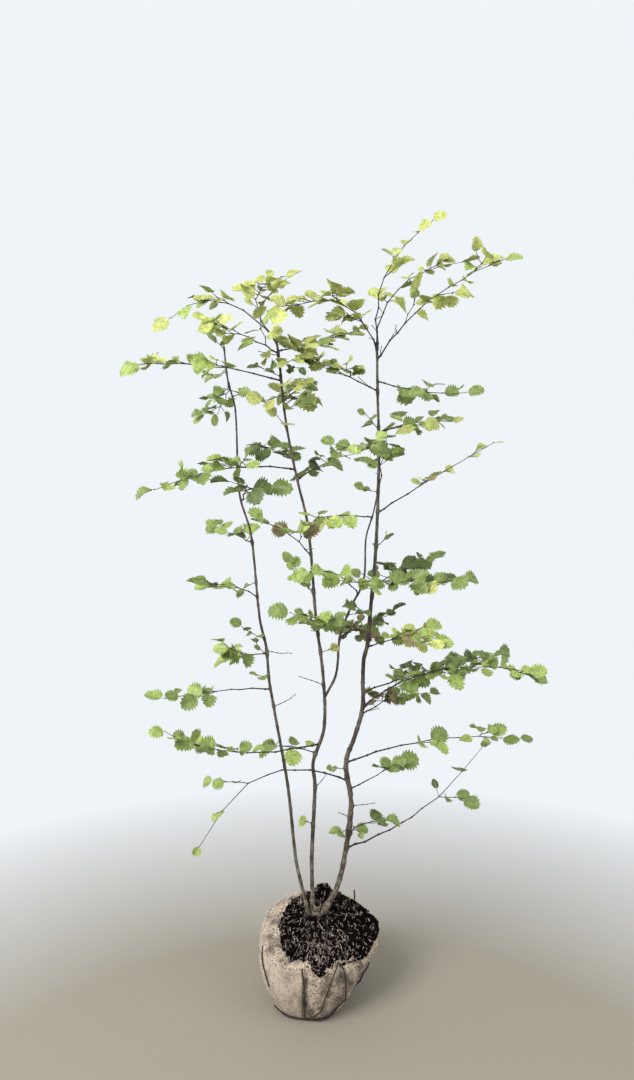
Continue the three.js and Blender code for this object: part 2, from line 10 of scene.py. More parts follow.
import bpy
import numpy as np
from bpy.props import FloatProperty, FloatVectorProperty, IntProperty, PointerProperty
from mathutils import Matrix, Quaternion, Vector


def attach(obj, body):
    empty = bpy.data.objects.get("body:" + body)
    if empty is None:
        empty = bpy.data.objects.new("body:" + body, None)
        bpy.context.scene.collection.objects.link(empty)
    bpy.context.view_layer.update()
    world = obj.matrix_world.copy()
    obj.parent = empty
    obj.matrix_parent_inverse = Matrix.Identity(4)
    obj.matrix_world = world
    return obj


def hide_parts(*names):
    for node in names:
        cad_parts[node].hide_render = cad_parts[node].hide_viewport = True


bl_info = {
    "name": "Sapling on a Root Ball",
    "version": (1, 0, 0),
    "blender": (4, 5, 0),
    "location": "View3D > Sidebar > Sapling",
    "description": "Barked stems, toothed leaves and a jute-wrapped root ball around a young tree's solids",
    "category": "Add Mesh",
}

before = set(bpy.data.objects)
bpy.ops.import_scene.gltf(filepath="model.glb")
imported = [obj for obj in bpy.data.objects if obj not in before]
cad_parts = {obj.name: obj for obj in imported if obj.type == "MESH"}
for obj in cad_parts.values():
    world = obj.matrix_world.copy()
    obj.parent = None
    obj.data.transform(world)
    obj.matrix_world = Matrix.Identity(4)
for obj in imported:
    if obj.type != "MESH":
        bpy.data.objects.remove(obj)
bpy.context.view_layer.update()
MM = 0.001

# Sizes of the growth rule, in millimetres, as the solids have them
STEM_FOOT = 206
FLARE_FADE = 28
STEM_STEP = 75
TWIG_STEP = 62
BOUGH_STEP = 55
TIP_RADIUS = 1.3
REACH_PER_RADIUS = 420
GAP = 0.35
LEAF_LENGTH = 57
LEAF_BALL = 0.19
LEAF_CLEAR = 2

# The balls that stand for a leaf where it is tried for room: along and across, as shares of its length
BALL_PLACES = [(0.3, 0), (0.36, 0.2), (0.36, -0.2), (0.56, 0), (0.6, 0.24), (0.6, -0.24), (0.82, 0.1),
               (0.82, -0.1)]

# Sizes of the root ball, in millimetres, as the solids have them
BASE_RADIUS = 103
WIDEST_RADIUS = 160
WIDEST_HEIGHT = 135
BASE_SHIFT = (-18, -20)
FOOT_ROUND = 9
SHOULDER_DROP = 36
SHOULDER_HEIGHT = 75
FLANK_TUCK = SimpleNamespace(depth=20, turn=1.95 * math.pi, width=0.15)
RIM_MIDDLE = 178
RIM_TILT = 30
RIM_WAVE = 6
RIM_NOTCH = SimpleNamespace(depth=16, turn=1.51 * math.pi, width=0.16)
FOLD_DEPTH = 3.5
CLOTH = 3
COLLAR = SimpleNamespace(x=-3, y=-2, z=205, width=31, depth=19, height=17)

# Small trim round the foot, in millimetres: a knob low on a stem, the stub of a cut one, thick roots by their
# start, heading and length, dead sticks by their foot, length and lean, and how many crumbs lie round the
# collar and threads fray the cloth's edge
KNOB = SimpleNamespace(stem="right_stem", height=232, off=(-9, -6, 0), swell=0.75, spread=9)
STUB = SimpleNamespace(foot=(-2, 14, 208), lean=(0.03, -0.72, 1),
                       outside=[(0, 11.5), (10, 10.0), (26, 9.3), (40, 9.8), (45, 10.4), (46.5, 9.3)],
                       hollow=[(45, 6.2), (34, 5.2), (30, 0.8)])
THICK_ROOTS = [(-26, -12, 1.5 * math.pi - 0.05, 66), (4, -15, 1.5 * math.pi + 0.8, 88), (20, 4, 0.1, 60)]
THICK_ROOT = 4.2
STICKS = [(100, 92, 34, 0.05), (-62, 66, 24, -0.5), (-96, 12, 17, -0.7), (64, -84, 18, 0.8),
          (88, 52, 36, -0.15)]
COLLAR_CRUMBS = 190
FRAYED_THREADS = 230


# Each stem runs from its foot to its tip, and sways off that line: share of the height, then x and y.
def stem(name, foot, tip, radius, end, flare, sways, fork=None):
    return SimpleNamespace(name=name, foot=foot, tip=tip, radius=radius, end=end, flare=flare,
                           sways=sways, fork=fork)


STEMS = [
    stem("left_stem", (-23, -8, STEM_FOOT), (-221, 135, 1709), 4.6, 2.0, 1.6, [
        (0.04, -5, 0), (0.1, -12, 0), (0.23, -4, -4), (0.41, -12, 0), (0.47, -7, 2), (0.52, -13, 4),
        (0.67, -3, 3), (0.74, -17, 2), (0.89, 5, 2), (0.94, -3, 1)]),
    stem("middle_stem", (-12, 4, STEM_FOOT), (-74, -60, 1703), 5.4, 2.3, 1.8, [
        (0.1, 5, 2), (0.24, 26, 2), (0.28, 25, 3), (0.34, 58, 6), (0.43, 64, 12), (0.53, 55, 10),
        (0.69, 49, 5), (0.77, 29, 5), (0.86, 11, 1), (0.96, 4, -2)]),
    stem("right_stem", (9, -5, STEM_FOOT), (177, 45, 1698), 7.0, 2.8, 3.2, [
        (0.02, 15, 3), (0.05, 34, 5), (0.1, 46, 5), (0.2, 50, 5), (0.275, 26, 4), (0.32, 42, 3),
        (0.37, 55, 3), (0.42, 49, 4), (0.455, 46, 3), (0.48, 51, 1), (0.53, 51, 1), (0.65, 49, 3),
        (0.82, 32, 0), (0.9, 17, 0)]),
    stem("inner_stem", None, (186, 105, 1348), 3.4, 1.8, 0, [
        (0.1, 15, 8), (0.27, 1, 14), (0.4, 9, 14), (0.52, 26, 21), (0.73, 3, 16), (0.84, 5, 9)],
        fork=("middle_stem", 795)),
]


# Each spray leaves its stem at a height and reaches out by x, y and z. Its bow bends the middle by x and z.
# Bare is the leafless share of its length, and a bough makes that share a limb of its own. Tints are the
# leaf colours dealt to it, the usual one first. Full is how thickly the finer shoots stand on it.
def spray(name, stem_name, height, reach, bow, bare, leaves, width, tints, seed, size=1.0, bough=False,
          full=1.0):
    return SimpleNamespace(name=name, stem=stem_name + "_stem", height=height, reach=np.array(reach, float),
                           bow=bow, bare=bare, leaves=leaves, width=width, tints=tints.split(), seed=seed,
                           size=size, bough=bough, full=full)


# The top sprays take lime and olive and the low and inner ones deep: partly tints of their own, partly
# painted light at the top and painted shade below
SPRAYS = [
    spray("leader", "right", 1690, (145, 25, 310), (-45, 25), 0.4, 7, 45, "lime olive",
          size=0.85, seed=1, full=0.4),
    spray("top_right", "right", 1655, (290, -115, 210), (-20, 25), 0.25, 15, 75, "lime olive fresh",
          seed=2, full=0.45),
    spray("top_right_back", "right", 1678, (250, 190, 260), (-60, 40), 0.3, 10, 65, "olive green lime",
          seed=3, full=0.45),
    spray("top_centre", "right", 1672, (-220, -110, 90), (25, 65), 0.2, 14, 70, "olive lime",
          seed=4, full=1.05),
    spray("top_left_far", "middle", 1690, (-240, -70, 45), (-5, 65), 0.35, 8, 55, "olive fresh",
          seed=5, bough=True, full=0.8),
    spray("top_left_high", "middle", 1680, (20, 120, 180), (-60, 35), 0.3, 11, 65, "lime olive",
          seed=6, full=1.2),
    spray("upper_left", "middle", 1660, (-150, -130, 55), (0, 5), 0.15, 14, 75, "lime fresh olive",
          seed=7, full=0.6),
    spray("upper_cross", "middle", 1665, (200, 205, 80), (-5, -5), 0.1, 10, 65, "olive green",
          seed=8, full=1.7),
    spray("left_arm", "middle", 1595, (-330, -75, 35), (5, 15), 0.35, 14, 60, "fresh lime",
          seed=9, bough=True, full=0.75),
    spray("left_top", "left", 1610, (-45, 110, -70), (10, 10), 0.2, 9, 60, "green fresh",
          seed=10, full=0.9),
    spray("inner_left", "right", 1575, (-220, -110, 100), (-10, 5), 0.25, 15, 65, "olive green lime",
          seed=11, full=1.4),
    spray("middle_upper", "middle", 1545, (55, 225, 75), (-5, -5), 0.1, 9, 60, "green olive",
          seed=12, full=1.5),
    spray("right_upper", "right", 1600, (190, -190, -50), (0, -10), 0.12, 11, 75, "green olive deep",
          seed=13, full=0.3),
    spray("right_upper_back", "right", 1465, (185, 235, 45), (-10, 10), 0.1, 14, 70, "green olive",
          seed=14, full=0.5),
    spray("centre_green", "right", 1425, (-115, -240, -5), (0, 10), 0.3, 8, 60, "green fresh",
          seed=15, full=0.8),
    spray("left_long", "middle", 1380, (-315, -160, -40), (-5, 25), 0.3, 13, 60, "fresh green",
          seed=16, bough=True, full=0.65),
    spray("centre_mid", "middle", 1355, (155, 260, 65), (-5, 10), 0.1, 8, 60, "green deep", seed=17),
    spray("left_crossing", "middle", 1405, (-100, 245, 50), (5, -5), 0.3, 7, 60, "green deep", seed=18),
    spray("left_cluster", "left", 1300, (45, -250, 35), (5, 15), 0.25, 10, 75, "deep green",
          seed=19, full=0.5),
    spray("left_mid", "left", 1190, (-120, 150, 25), (5, 5), 0.25, 8, 60, "green fresh", seed=20),
    spray("centre_ring", "middle", 1165, (-105, -140, 95), (5, 10), 0.25, 7, 60, "fresh bronze green",
          seed=21, full=0.2),
    spray("centre_fan", "inner", 1250, (-150, -200, 15), (5, 5), 0.25, 9, 75, "lime fresh",
          seed=22, full=0.1),
    spray("inner_top", "inner", 1335, (30, 110, 125), (0, 10), 0.25, 7, 55, "green fresh", seed=23),
    spray("right_arm", "right", 1265, (275, -100, 170), (-5, 0), 0.3, 8, 50, "olive bronze green",
          size=0.7, seed=24, bough=True),
    spray("right_mid", "inner", 1085, (200, -190, 20), (-5, 0), 0.25, 14, 75, "green deep olive",
          seed=25, full=0.9),
    spray("right_mid_back", "right", 1055, (185, 225, 60), (-20, 15), 0.25, 9, 65, "deep green",
          seed=26, full=1.2),
    spray("inner_fan_low", "inner", 1050, (-85, -190, 90), (10, 10), 0.3, 9, 60, "fresh green",
          seed=27, full=0.3),
    spray("left_low_mid", "left", 1045, (-130, -140, 55), (5, 15), 0.25, 8, 60, "fresh green",
          seed=28, full=0.8),
    spray("middle_front", "middle", 960, (-20, -190, 85), (0, 5), 0.3, 10, 65, "green fresh", seed=29),
    spray("tangle", "inner", 935, (75, 190, -25), (0, 20), 0.25, 10, 70, "green deep bronze",
          seed=30, full=1.3),
    spray("right_low_mid", "right", 920, (155, -200, 55), (10, 15), 0.25, 9, 70, "fresh lime bronze",
          seed=31, full=1.3),
    spray("left_low", "left", 900, (-95, -150, 60), (-5, -15), 0.2, 8, 60, "fresh green",
          seed=32, full=0.5),
    spray("left_low_arm", "left", 805, (-300, 100, -50), (10, 10), 0.45, 6, 50, "green fresh",
          seed=33, bough=True, full=0.3),
    spray("low_left", "middle", 675, (-355, -200, 105), (-25, -35), 0.45, 11, 70, "fresh green",
          seed=34, bough=True, full=0.5),
    spray("low_centre_left", "middle", 650, (-135, 90, -10), (0, 10), 0.1, 6, 50, "fresh green",
          seed=35, full=0.6),
    spray("low_sweep", "right", 565, (-365, -175, -85), (-30, 95), 0.5, 5, 110, "fresh",
          size=0.6, seed=36, bough=True, full=0.3),
    spray("right_low_arm", "right", 760, (400, -130, 120), (-15, 50), 0.2, 19, 75, "green deep fresh",
          seed=37, bough=True, full=2.0),
    spray("right_low_back", "right", 800, (385, 165, 60), (-20, 0), 0.3, 12, 65, "deep green",
          seed=38, full=2.0),
    spray("right_low_inner", "right", 740, (205, 190, 0), (-10, 15), 0.3, 7, 55, "green fresh bronze",
          seed=39, full=1.5),
    spray("right_foot_arm", "right", 615, (460, 55, 35), (-5, 30), 0.35, 10, 60, "green fresh",
          seed=40, bough=True, full=0.5),
    spray("right_foot_inner", "right", 545, (105, -190, 135), (5, 0), 0.45, 5, 55, "deep green",
          seed=41, full=0.3),
    spray("right_whip", "right", 385, (390, 165, 205), (25, -30), 0.5, 5, 60, "green deep",
          size=0.9, seed=42, bough=True, full=0.3),
    spray("foot_front", "right", 425, (75, -150, 95), (-5, 10), 0.4, 4, 50, "deep green",
          size=0.75, seed=43, full=0.2),
]

# Small shoots straight from the stems: a stem, a height, a reach by x, y and z, and a leaf colour, or none
# where the shoot is bare
STEM_SHOOTS = [
    ("middle", 460, (-18, -20, 12), "fresh"), ("right", 600, (-28, -24, 12), "green"),
    ("middle", 1069, (-30, -34, 66), "fresh"), ("middle", 1075, (-62, 20, 60), "fresh"),
    ("left", 938, (-62, -28, 22), "green"), ("left", 894, (-26, 20, 24), "green"),
    ("left", 838, (-30, -14, 12), "fresh"), ("middle", 916, (30, -22, 14), "lime"),
    ("middle", 1640, (34, -24, -26), "deep"), ("right", 1572, (44, -18, 24), "lime"),
    ("right", 1480, (-34, -22, 30), "green"), ("right", 1465, (36, -30, -24), "green"),
    ("right", 1319, (-30, -16, 8), "green"), ("left", 1085, (-22, -24, -16), "green"),
    ("left", 1190, (24, 30, 24), "green"), ("middle", 1240, (26, 24, 22), "green"),
    ("right", 1180, (30, -26, 24), "deep"), ("right", 1090, (-26, -24, 20), "green"),
    ("middle", 1480, (-24, -20, 26), "olive"), ("left", 1390, (22, -26, 22), "green"),
    ("left", 1700, (-20, -24, 16), "green"), ("left", 1640, (-40, -30, -14), "green"),
    ("right", 452, (14, -46, -6), "green"), ("right", 440, (-34, -40, 6), "green"),
    ("right", 428, (34, -32, 2), "fresh"), ("left", 1600, (-34, -34, -30), "green"),
    ("middle", 1655, (-40, -34, 10), "olive"), ("middle", 1625, (46, -38, 12), "olive"),
    ("middle", 1605, (-52, -24, 22), "green"), ("middle", 1585, (44, -34, -16), "olive"),
    ("middle", 1560, (-34, -40, -10), "olive"), ("middle", 1528, (54, -18, 8), "green"),
    ("right", 1010, (-46, -34, 14), "green"), ("right", 985, (48, -34, 10), "deep"),
    ("right", 945, (42, -28, -14), "green"), ("inner", 960, (-42, -30, 16), "green"),
    ("inner", 1000, (46, -34, 12), "green"), ("inner", 1030, (-30, -40, 10), "fresh"),
    ("left", 620, (26, -20, 18), None), ("middle", 560, (30, 14, 26), None),
    ("right", 470, (-22, -14, 22), None), ("middle", 830, (-52, -20, 30), None),
    ("left", 760, (58, 10, 20), None), ("left", 905, (70, -30, -14), None),
    ("right", 500, (60, -40, 18), None),
]

# The finer growth, in millimetres: the rings along a limb, its kinks, and the shoots that stand on it
STEM_RING = 4.5
TWIG_RING = 7
FINE_TIP = 0.7
KINK = (1.8, 4.6)
BARE_NODE = 36
SHOOT_STEP = 17
LEAFY_SHOOT = 52
BARE_SHOOT = 38
TWIG_SHOOT = 30

# Swellings: at a stem's growth nodes, where a twig leaves a stem, and at a twig's own nodes. A swell is a
# share of the radius, and the rest are millimetres.
GROWTH_NODE = SimpleNamespace(spacing=(42, 84), swell=0.17, spread=3.4)
CROTCH = SimpleNamespace(swell=0.55, spread=7)
TWIG_NODE = SimpleNamespace(swell=0.6, spread=2.2)

# How likely a shoot is at a node, before a spray's own fullness, and the fullness that gives a second one
LEAFY_CHANCE = 0.85
BARE_CHANCE = 0.55
TWIG_CHANCE = 0.65
SECOND_FROM = 0.75

# The leaf blade, as shares of its length, and the colour of the down on its underside. Where there are two
# values, each leaf lies between them.
TEETH = 6
STALK_SHARE = 0.15
SHOOT_LEAF = (0.38, 0.84)
BLADE_FOLD = (-0.05, 0.62)
BLADE_DROOP = (-0.05, 0.5)
BLADE_WAVE = (0.01, 0.05)
BLADE_WIDTH = (0.78, 1.04)
BLADE_TWIST = (-0.4, 0.4)
BLADE_OBLIQUE = (-0.12, 0.12)
LEAF_DOWN = (0.36, 0.42, 0.16)

TINTS = ("fresh", "green", "deep", "lime", "olive", "bronze")


# Settings that a user would change

def colour(name, description, value):
    return FloatVectorProperty(name=name, description=description, default=value, subtype="COLOR",
                               min=0, max=1)


def share_of(name, description, value, most):
    return FloatProperty(name=name, description=description, default=value, min=0, max=most,
                         subtype="FACTOR")


class SaplingLeafSettings(bpy.types.PropertyGroup):
    fresh: colour("Fresh", "Bright green of the low and outer sprays", (0.332, 0.436, 0.106))
    green: colour("Green", "Usual summer green", (0.196, 0.268, 0.068))
    # Partly painted shade: deep is dealt to the low and inner sprays, where the crown shades them
    deep: colour("Deep", "Darker green of the shaded sprays", (0.078, 0.122, 0.027))
    # Partly painted light: lime is dealt to the top sprays, a yellow-green that stands for light shining
    # through the leaves
    lime: colour("Lime", "Yellow-green of the sprays at the top", (0.545, 0.590, 0.165))
    # Partly painted light: olive is the high sprays' own tint, made brighter for the light that falls on the
    # top
    olive: colour("Olive", "Tired green of the high sprays", (0.480, 0.512, 0.150))
    bronze: colour("Bronze", "The few browned leaves", (0.245, 0.190, 0.085))
    stalk: colour("Stalk", "Leaf stalks", (0.30, 0.29, 0.12))
    vein: colour("Vein", "Raised veins of the leaves", (0.36, 0.41, 0.15))
    skin: FloatProperty(name="Skin", description="Thickness of a leaf", default=0.00035, unit="LENGTH")
    tooth: share_of("Tooth", "Depth of the teeth as a share of the leaf's half width", 0.36, 0.6)
    pleat: share_of("Pleat", "Depth of the pleats between veins as a share of the length", 0.022, 0.06)


class SaplingBarkSettings(bpy.types.PropertyGroup):
    dark: colour("Dark bark", "Brown of young wood", (0.062, 0.046, 0.034))
    pale: colour("Pale bark", "Pale patches on older wood", (0.310, 0.258, 0.195))
    twig: colour("Twig", "Brown of the twigs", (0.040, 0.029, 0.022))
    bud: colour("Bud", "Scales of the buds", (0.20, 0.13, 0.07))
    relief: share_of("Relief", "Depth of the bark's relief as a share of the limb's radius", 0.1, 0.4)


class SaplingBallSettings(bpy.types.PropertyGroup):
    jute: colour("Jute", "Clean cloth", (0.71, 0.575, 0.435))
    dirt: colour("Dirt", "Damp soil worked into the cloth", (0.050, 0.034, 0.022))
    soil: colour("Soil", "Damp peaty soil", (0.0035, 0.003, 0.0026))
    fibre: colour("Root fibre", "Fine pale roots in the soil", (0.44, 0.36, 0.30))
    chip: colour("Chip", "Purple-brown chips of bark and root in the soil", (0.270, 0.190, 0.160))
    twine: colour("Twine", "Dark twine round the wrap", (0.030, 0.022, 0.018))
    thread: FloatProperty(name="Thread", description="Spacing of the jute's threads", default=0.0021,
                          unit="LENGTH")
    fibres: IntProperty(name="Fibres", description="How many fine roots lie on the soil", default=260)
    chips: IntProperty(name="Chips", description="How many chips lie on the soil", default=820)
    crumbs: IntProperty(name="Crumbs", description="How many crumbs of soil lie on the mound", default=2200)


class SaplingStageSettings(bpy.types.PropertyGroup):
    floor: colour("Floor", "Pale studio floor", (0.300, 0.268, 0.215))
    backdrop: colour("Backdrop", "What the camera sees behind the plant", (0.868, 0.905, 0.945))
    sky: colour("Soft light", "Light from all round", (0.90, 0.95, 1.0))
    sky_strength: FloatProperty(name="Soft light strength", default=0.82, min=0,
                                description="Strength of the light from all round")
    key: FloatProperty(name="Key light", description="Power of the large light at the upper left",
                       default=215, min=0, unit="POWER")
    height: FloatProperty(name="Camera height", description="Height of the camera", default=1.38,
                          unit="LENGTH")
    distance: FloatProperty(name="Camera distance", description="How far the camera stands from the plant",
                            default=2.045, unit="LENGTH")
    lens: FloatProperty(name="Lens", description="Focal length of the camera", default=27, unit="CAMERA")


# The growth rule, as the solids have it

class Chance:
    """A run of seeded numbers that is the same on every computer."""

    def __init__(self, seed):
        self.state = (seed * 7919 + 12345) % 2**32

    def spread(self, low, high):
        self.state = (self.state * 1664525 + 1013904223) % 2**32
        return low + (high - low) * (self.state / 2**32)


def unit(vector):
    return vector / np.linalg.norm(vector)


def unit_rows(vectors):
    return vectors / np.linalg.norm(vectors, axis=1)[:, None]


def side_of(heading):
    """A level direction square to a heading."""
    upright = np.array([0.0, 1, 0]) if abs(heading[2]) > 0.92 else np.array([0.0, 0, 1])
    return unit(np.cross(upright, heading))


def rounded(number):
    return math.floor(number + 0.5)


def sway_at(sways, share):
    """How far a stem stands off its line, by x and y: a smooth curve through its sways."""
    nodes = [(0, 0, 0), *sways, (1, 0, 0)]
    i = 0
    while i + 2 < len(nodes) and share > nodes[i + 1][0]:
        i += 1
    before, start = nodes[max(0, i - 1)], nodes[i]
    end, after = nodes[i + 1], nodes[min(len(nodes) - 1, i + 2)]
    span = end[0] - start[0]
    u = (share - start[0]) / span
    sway = []
    for axis in (1, 2):
        leave = (end[axis] - before[axis]) / (end[0] - before[0]) * span
        arrive = (after[axis] - start[axis]) / (after[0] - start[0]) * span
        sway.append(start[axis] * (2 * u**3 - 3 * u**2 + 1) + leave * (u**3 - 2 * u**2 + u)
                    + end[axis] * (3 * u**2 - 2 * u**3) + arrive * (u**3 - u**2))
    return sway


def stem_point(limb, height):
    share = min(1, max(0, (height - limb.foot[2]) / (limb.tip[2] - limb.foot[2])))
    x, y = sway_at(limb.sways, share)
    return np.array(limb.foot) + (np.array(limb.tip) - limb.foot) * share + (x, y, 0)


def stem_radius(limb, height):
    above = height - limb.foot[2]
    share = above / (limb.tip[2] - limb.foot[2])
    return limb.radius + (limb.end - limb.radius) * share + limb.flare * math.exp(-above / FLARE_FADE)


def stem_route(limb):
    """The corners of a stem's solid: (point, radius)."""
    length = limb.tip[2] - limb.foot[2]
    steps = rounded(length / STEM_STEP)
    heights = [limb.foot[2] + length * i / steps for i in range(steps + 1)]
    if limb.flare:
        heights.insert(1, limb.foot[2] + FLARE_FADE)
    return [(stem_point(limb, height), stem_radius(limb, height)) for height in heights]


def axis_point(route, height):
    """Where a stem's solid has its axis at a height."""
    i = max(1, next(i for i, (point, _) in enumerate(route) if point[2] >= height))
    low, high = route[i - 1][0], route[i][0]
    return low + (high - low) * ((height - low[2]) / (high[2] - low[2]))


def limb_point(row, share):
    bend = 4 * share * (1 - share)
    return row.root + row.reach * share + np.array([row.bow[0], 0, row.bow[1]]) * bend


def limb_radius(row, share):
    thick = TIP_RADIUS + np.linalg.norm(row.reach) / REACH_PER_RADIUS
    return thick + (TIP_RADIUS - thick) * share


def limb_route(row, start, end, step):
    """Corners along a bough or a spray's own stem: (point, radius, share)."""
    steps = max(2, rounded(np.linalg.norm(row.reach) * (end - start) / step))
    shares = [start + (end - start) * i / steps for i in range(steps + 1)]
    return [(limb_point(row, share), limb_radius(row, share), share) for share in shares]


def node_at(axis, share):
    """The point and heading at a share of the spray's length."""
    i = next(i for i, corner in enumerate(axis) if corner[2] >= share - 1e-6)
    low, high = axis[max(0, i - 1)], axis[max(1, i)]
    point = low[0] + (high[0] - low[0]) * ((share - low[2]) / (high[2] - low[2]))
    return SimpleNamespace(point=point, heading=unit(high[0] - low[0]), share=share)


def leaf_length(row, late, chance):
    return row.size * LEAF_LENGTH * chance.spread(0.72, 1.18) * (1 - 0.18 * late)


def leaf_at(base, along, sign, turn, length, chance):
    tip = along * math.cos(turn) + side_of(along) * sign * math.sin(turn)
    tip[2] -= chance.spread(-0.45, 0.5)
    tip = unit(tip)
    face = np.array([chance.spread(-0.6, 0.6), chance.spread(-1.5, 0.1), 0.8])
    face = unit(face - tip * (face @ tip))
    return SimpleNamespace(base=base, tip=tip, face=face, across=np.cross(face, tip), length=length)


class Obstacles:
    """Capsules that other limbs and leaves keep clear of."""

    def __init__(self):
        self.rows, self.owners = np.empty((0, 7)), np.empty(0, int)
        self.names = {}

    def owner_number(self, owner):
        return self.names.setdefault(owner, len(self.names))

    def add(self, capsules, owner):
        rows = np.array([(*start, *end, radius) for start, end, radius in capsules])
        self.rows = np.concatenate([self.rows, rows])
        self.owners = np.append(self.owners, [self.owner_number(owner)] * len(rows))

    def blocks(self, capsules, owner):
        rows = self.rows[self.owners != self.owner_number(owner)]
        start, run = rows[:, :3], rows[:, 3:6] - rows[:, :3]
        length = np.maximum((run**2).sum(1), 1e-12)
        for low, high, radius in capsules:
            steps = max(1, math.ceil(np.linalg.norm(high - low) / 8))
            for i in range(steps + 1):
                point = low + (high - low) * i / steps
                share = (((point - start) * run).sum(1) / length).clip(0, 1)
                away = np.linalg.norm(start + run * share[:, None] - point, axis=1)
                if (away - radius - rows[:, 6]).min() < LEAF_CLEAR:
                    return True
        return False


def capsules_of(route):
    return [(a[0], b[0], max(a[1], b[1])) for a, b in zip(route, route[1:])]


def leaf_balls(leaf):
    centres = [leaf.base + leaf.tip * a * leaf.length + leaf.across * b * leaf.length for a, b in BALL_PLACES]
    return [(centre, centre, LEAF_BALL * leaf.length) for centre in centres]


def grow_twig(row, node, sign, late, chance):
    """One side twig, with a leaf on each side and one at its tip."""
    turn = chance.spread(0.65, 1.1)
    length = row.width * chance.spread(0.75, 1.25) * (1 - 0.4 * late)
    heading = node.heading * math.cos(turn) + side_of(node.heading) * sign * math.sin(turn)
    heading[2] += chance.spread(-0.2, 0.3)
    heading = unit(heading)
    end = node.point + heading * length + node.heading * length * 0.1
    leaves = []
    for share, side, low, high in ((0.62, -sign, 0.7, 1.1), (0.3, sign, 0.7, 1.2), (1, sign, -0.15, 0.3)):
        turn = chance.spread(low, high)
        size = leaf_length(row, late, chance)
        leaf = leaf_at(node.point + (end - node.point) * share, heading, side, turn, size, chance)
        leaf.share = share
        leaves.append(leaf)
    return SimpleNamespace(route=[(node.point, TIP_RADIUS + 0.1), (end, TIP_RADIUS - 0.1)], heading=heading,
                           leaves=leaves, share=node.share, sign=sign)


def grow_spray(row, obstacles):
    """The seeded rule: every third node bears a side twig, the others one leaf, and the tip a leaf."""
    chance = Chance(row.seed)
    twig_count = row.leaves // 4
    node_count = max(1, row.leaves - 1 - 2 * twig_count)
    twigs, leaves, nodes = [], [], []
    for i in range(node_count):
        node = node_at(row.axis, row.bare + (1 - row.bare) * (i + 0.5) / (node_count + 0.4))
        sign = (-1 if i % 2 else 1) * (1 if row.seed % 2 else -1)
        late = i / node_count
        nodes.append((node.share, sign))
        if i % 3 == 0 and len(twigs) < twig_count:
            tries = [grow_twig(row, node, way, late, chance) for way in (sign, -sign)]
            clear = [twig for twig in tries if not obstacles.blocks(capsules_of(twig.route), row.name)]
            if clear:
                twigs.append(clear[0])
        else:
            length = leaf_length(row, late, chance)
            leaf = leaf_at(node.point, node.heading, sign, chance.spread(0.7, 1.2), length, chance)
            leaf.share = node.share
            leaves.append(leaf)
    tip = node_at(row.axis, 1)
    last = leaf_length(row, 0.6, chance)
    leaf = leaf_at(tip.point, tip.heading, 1, chance.spread(-0.2, 0.3), last, chance)
    leaf.share = 1
    leaves.append(leaf)
    for bearer in (SimpleNamespace(leaves=leaves), *twigs):
        kept = [leaf for leaf in bearer.leaves if not obstacles.blocks(leaf_balls(leaf), row.name)]
        bearer.leaves[:] = kept
    return SimpleNamespace(row=row, twigs=twigs, leaves=leaves, nodes=nodes)


@lru_cache(maxsize=1)
def grown_plant():
    """The sprays with their twigs and leaves, and last the small shoots straight from the stems."""
    obstacles = Obstacles()
    routes = {}
    for limb in STEMS:
        if limb.fork:
            limb.foot = tuple(axis_point(routes[limb.fork[0]], limb.fork[1]))
        routes[limb.name] = stem_route(limb)
        obstacles.add(capsules_of(routes[limb.name]), limb.name)
    for row in SPRAYS:
        row.root = axis_point(routes[row.stem], row.height)
        if row.bough:
            obstacles.add(capsules_of(limb_route(row, 0, row.bare, BOUGH_STEP)), row.name + "_bough")
        start = row.bare + GAP / np.linalg.norm(row.reach) if row.bough else 0
        row.axis = limb_route(row, start, 1, TWIG_STEP)
        obstacles.add(capsules_of(row.axis), row.name)
    grown = []
    for row in SPRAYS:
        mass = grow_spray(row, obstacles)
        for twig in mass.twigs:
            obstacles.add(capsules_of(twig.route), row.name)
        for bearer in (mass, *mass.twigs):
            for leaf in bearer.leaves:
                obstacles.add(leaf_balls(leaf), row.name)
        grown.append(mass)
    for mass in grown:
        grow_finer(mass, obstacles)
    return grown, grow_stem_shoots(obstacles)


def stem_named(name):
    return next(limb for limb in STEMS if limb.name == name)


def kinked_line(row, nodes, chance):
    """The keys of a spray's own stem, which kinks to each side in turn: (share, point, sign)."""
    count = max(1, rounded(row.bare * np.linalg.norm(row.reach) / BARE_NODE))
    first = nodes[0][1]
    keys = [(row.bare * (i + chance.spread(0.35, 0.85)) / count, first * (-1) ** (count - i))
            for i in range(count)]
    shift = stem_point(stem_named(row.stem), row.height) - row.root
    line = [(0.0, row.root + shift, 0)]
    for share, sign in keys + nodes:
        ahead = unit(limb_point(row, share + 0.01) - limb_point(row, share - 0.01))
        aside = side_of(ahead) * sign * chance.spread(*KINK)
        lift = np.cross(ahead, side_of(ahead)) * chance.spread(-1, 1) * KINK[0]
        line.append((share, limb_point(row, share) + aside + lift + shift * (1 - share) ** 4, sign))
    line.append((1.0, limb_point(row, 1), 0))
    return line


def point_on(line, share):
    for low, high in zip(line, line[1:]):
        if share <= high[0] + 1e-9:
            return low[1] + (high[1] - low[1]) * ((share - low[0]) / (high[0] - low[0]))
    return line[-1][1]


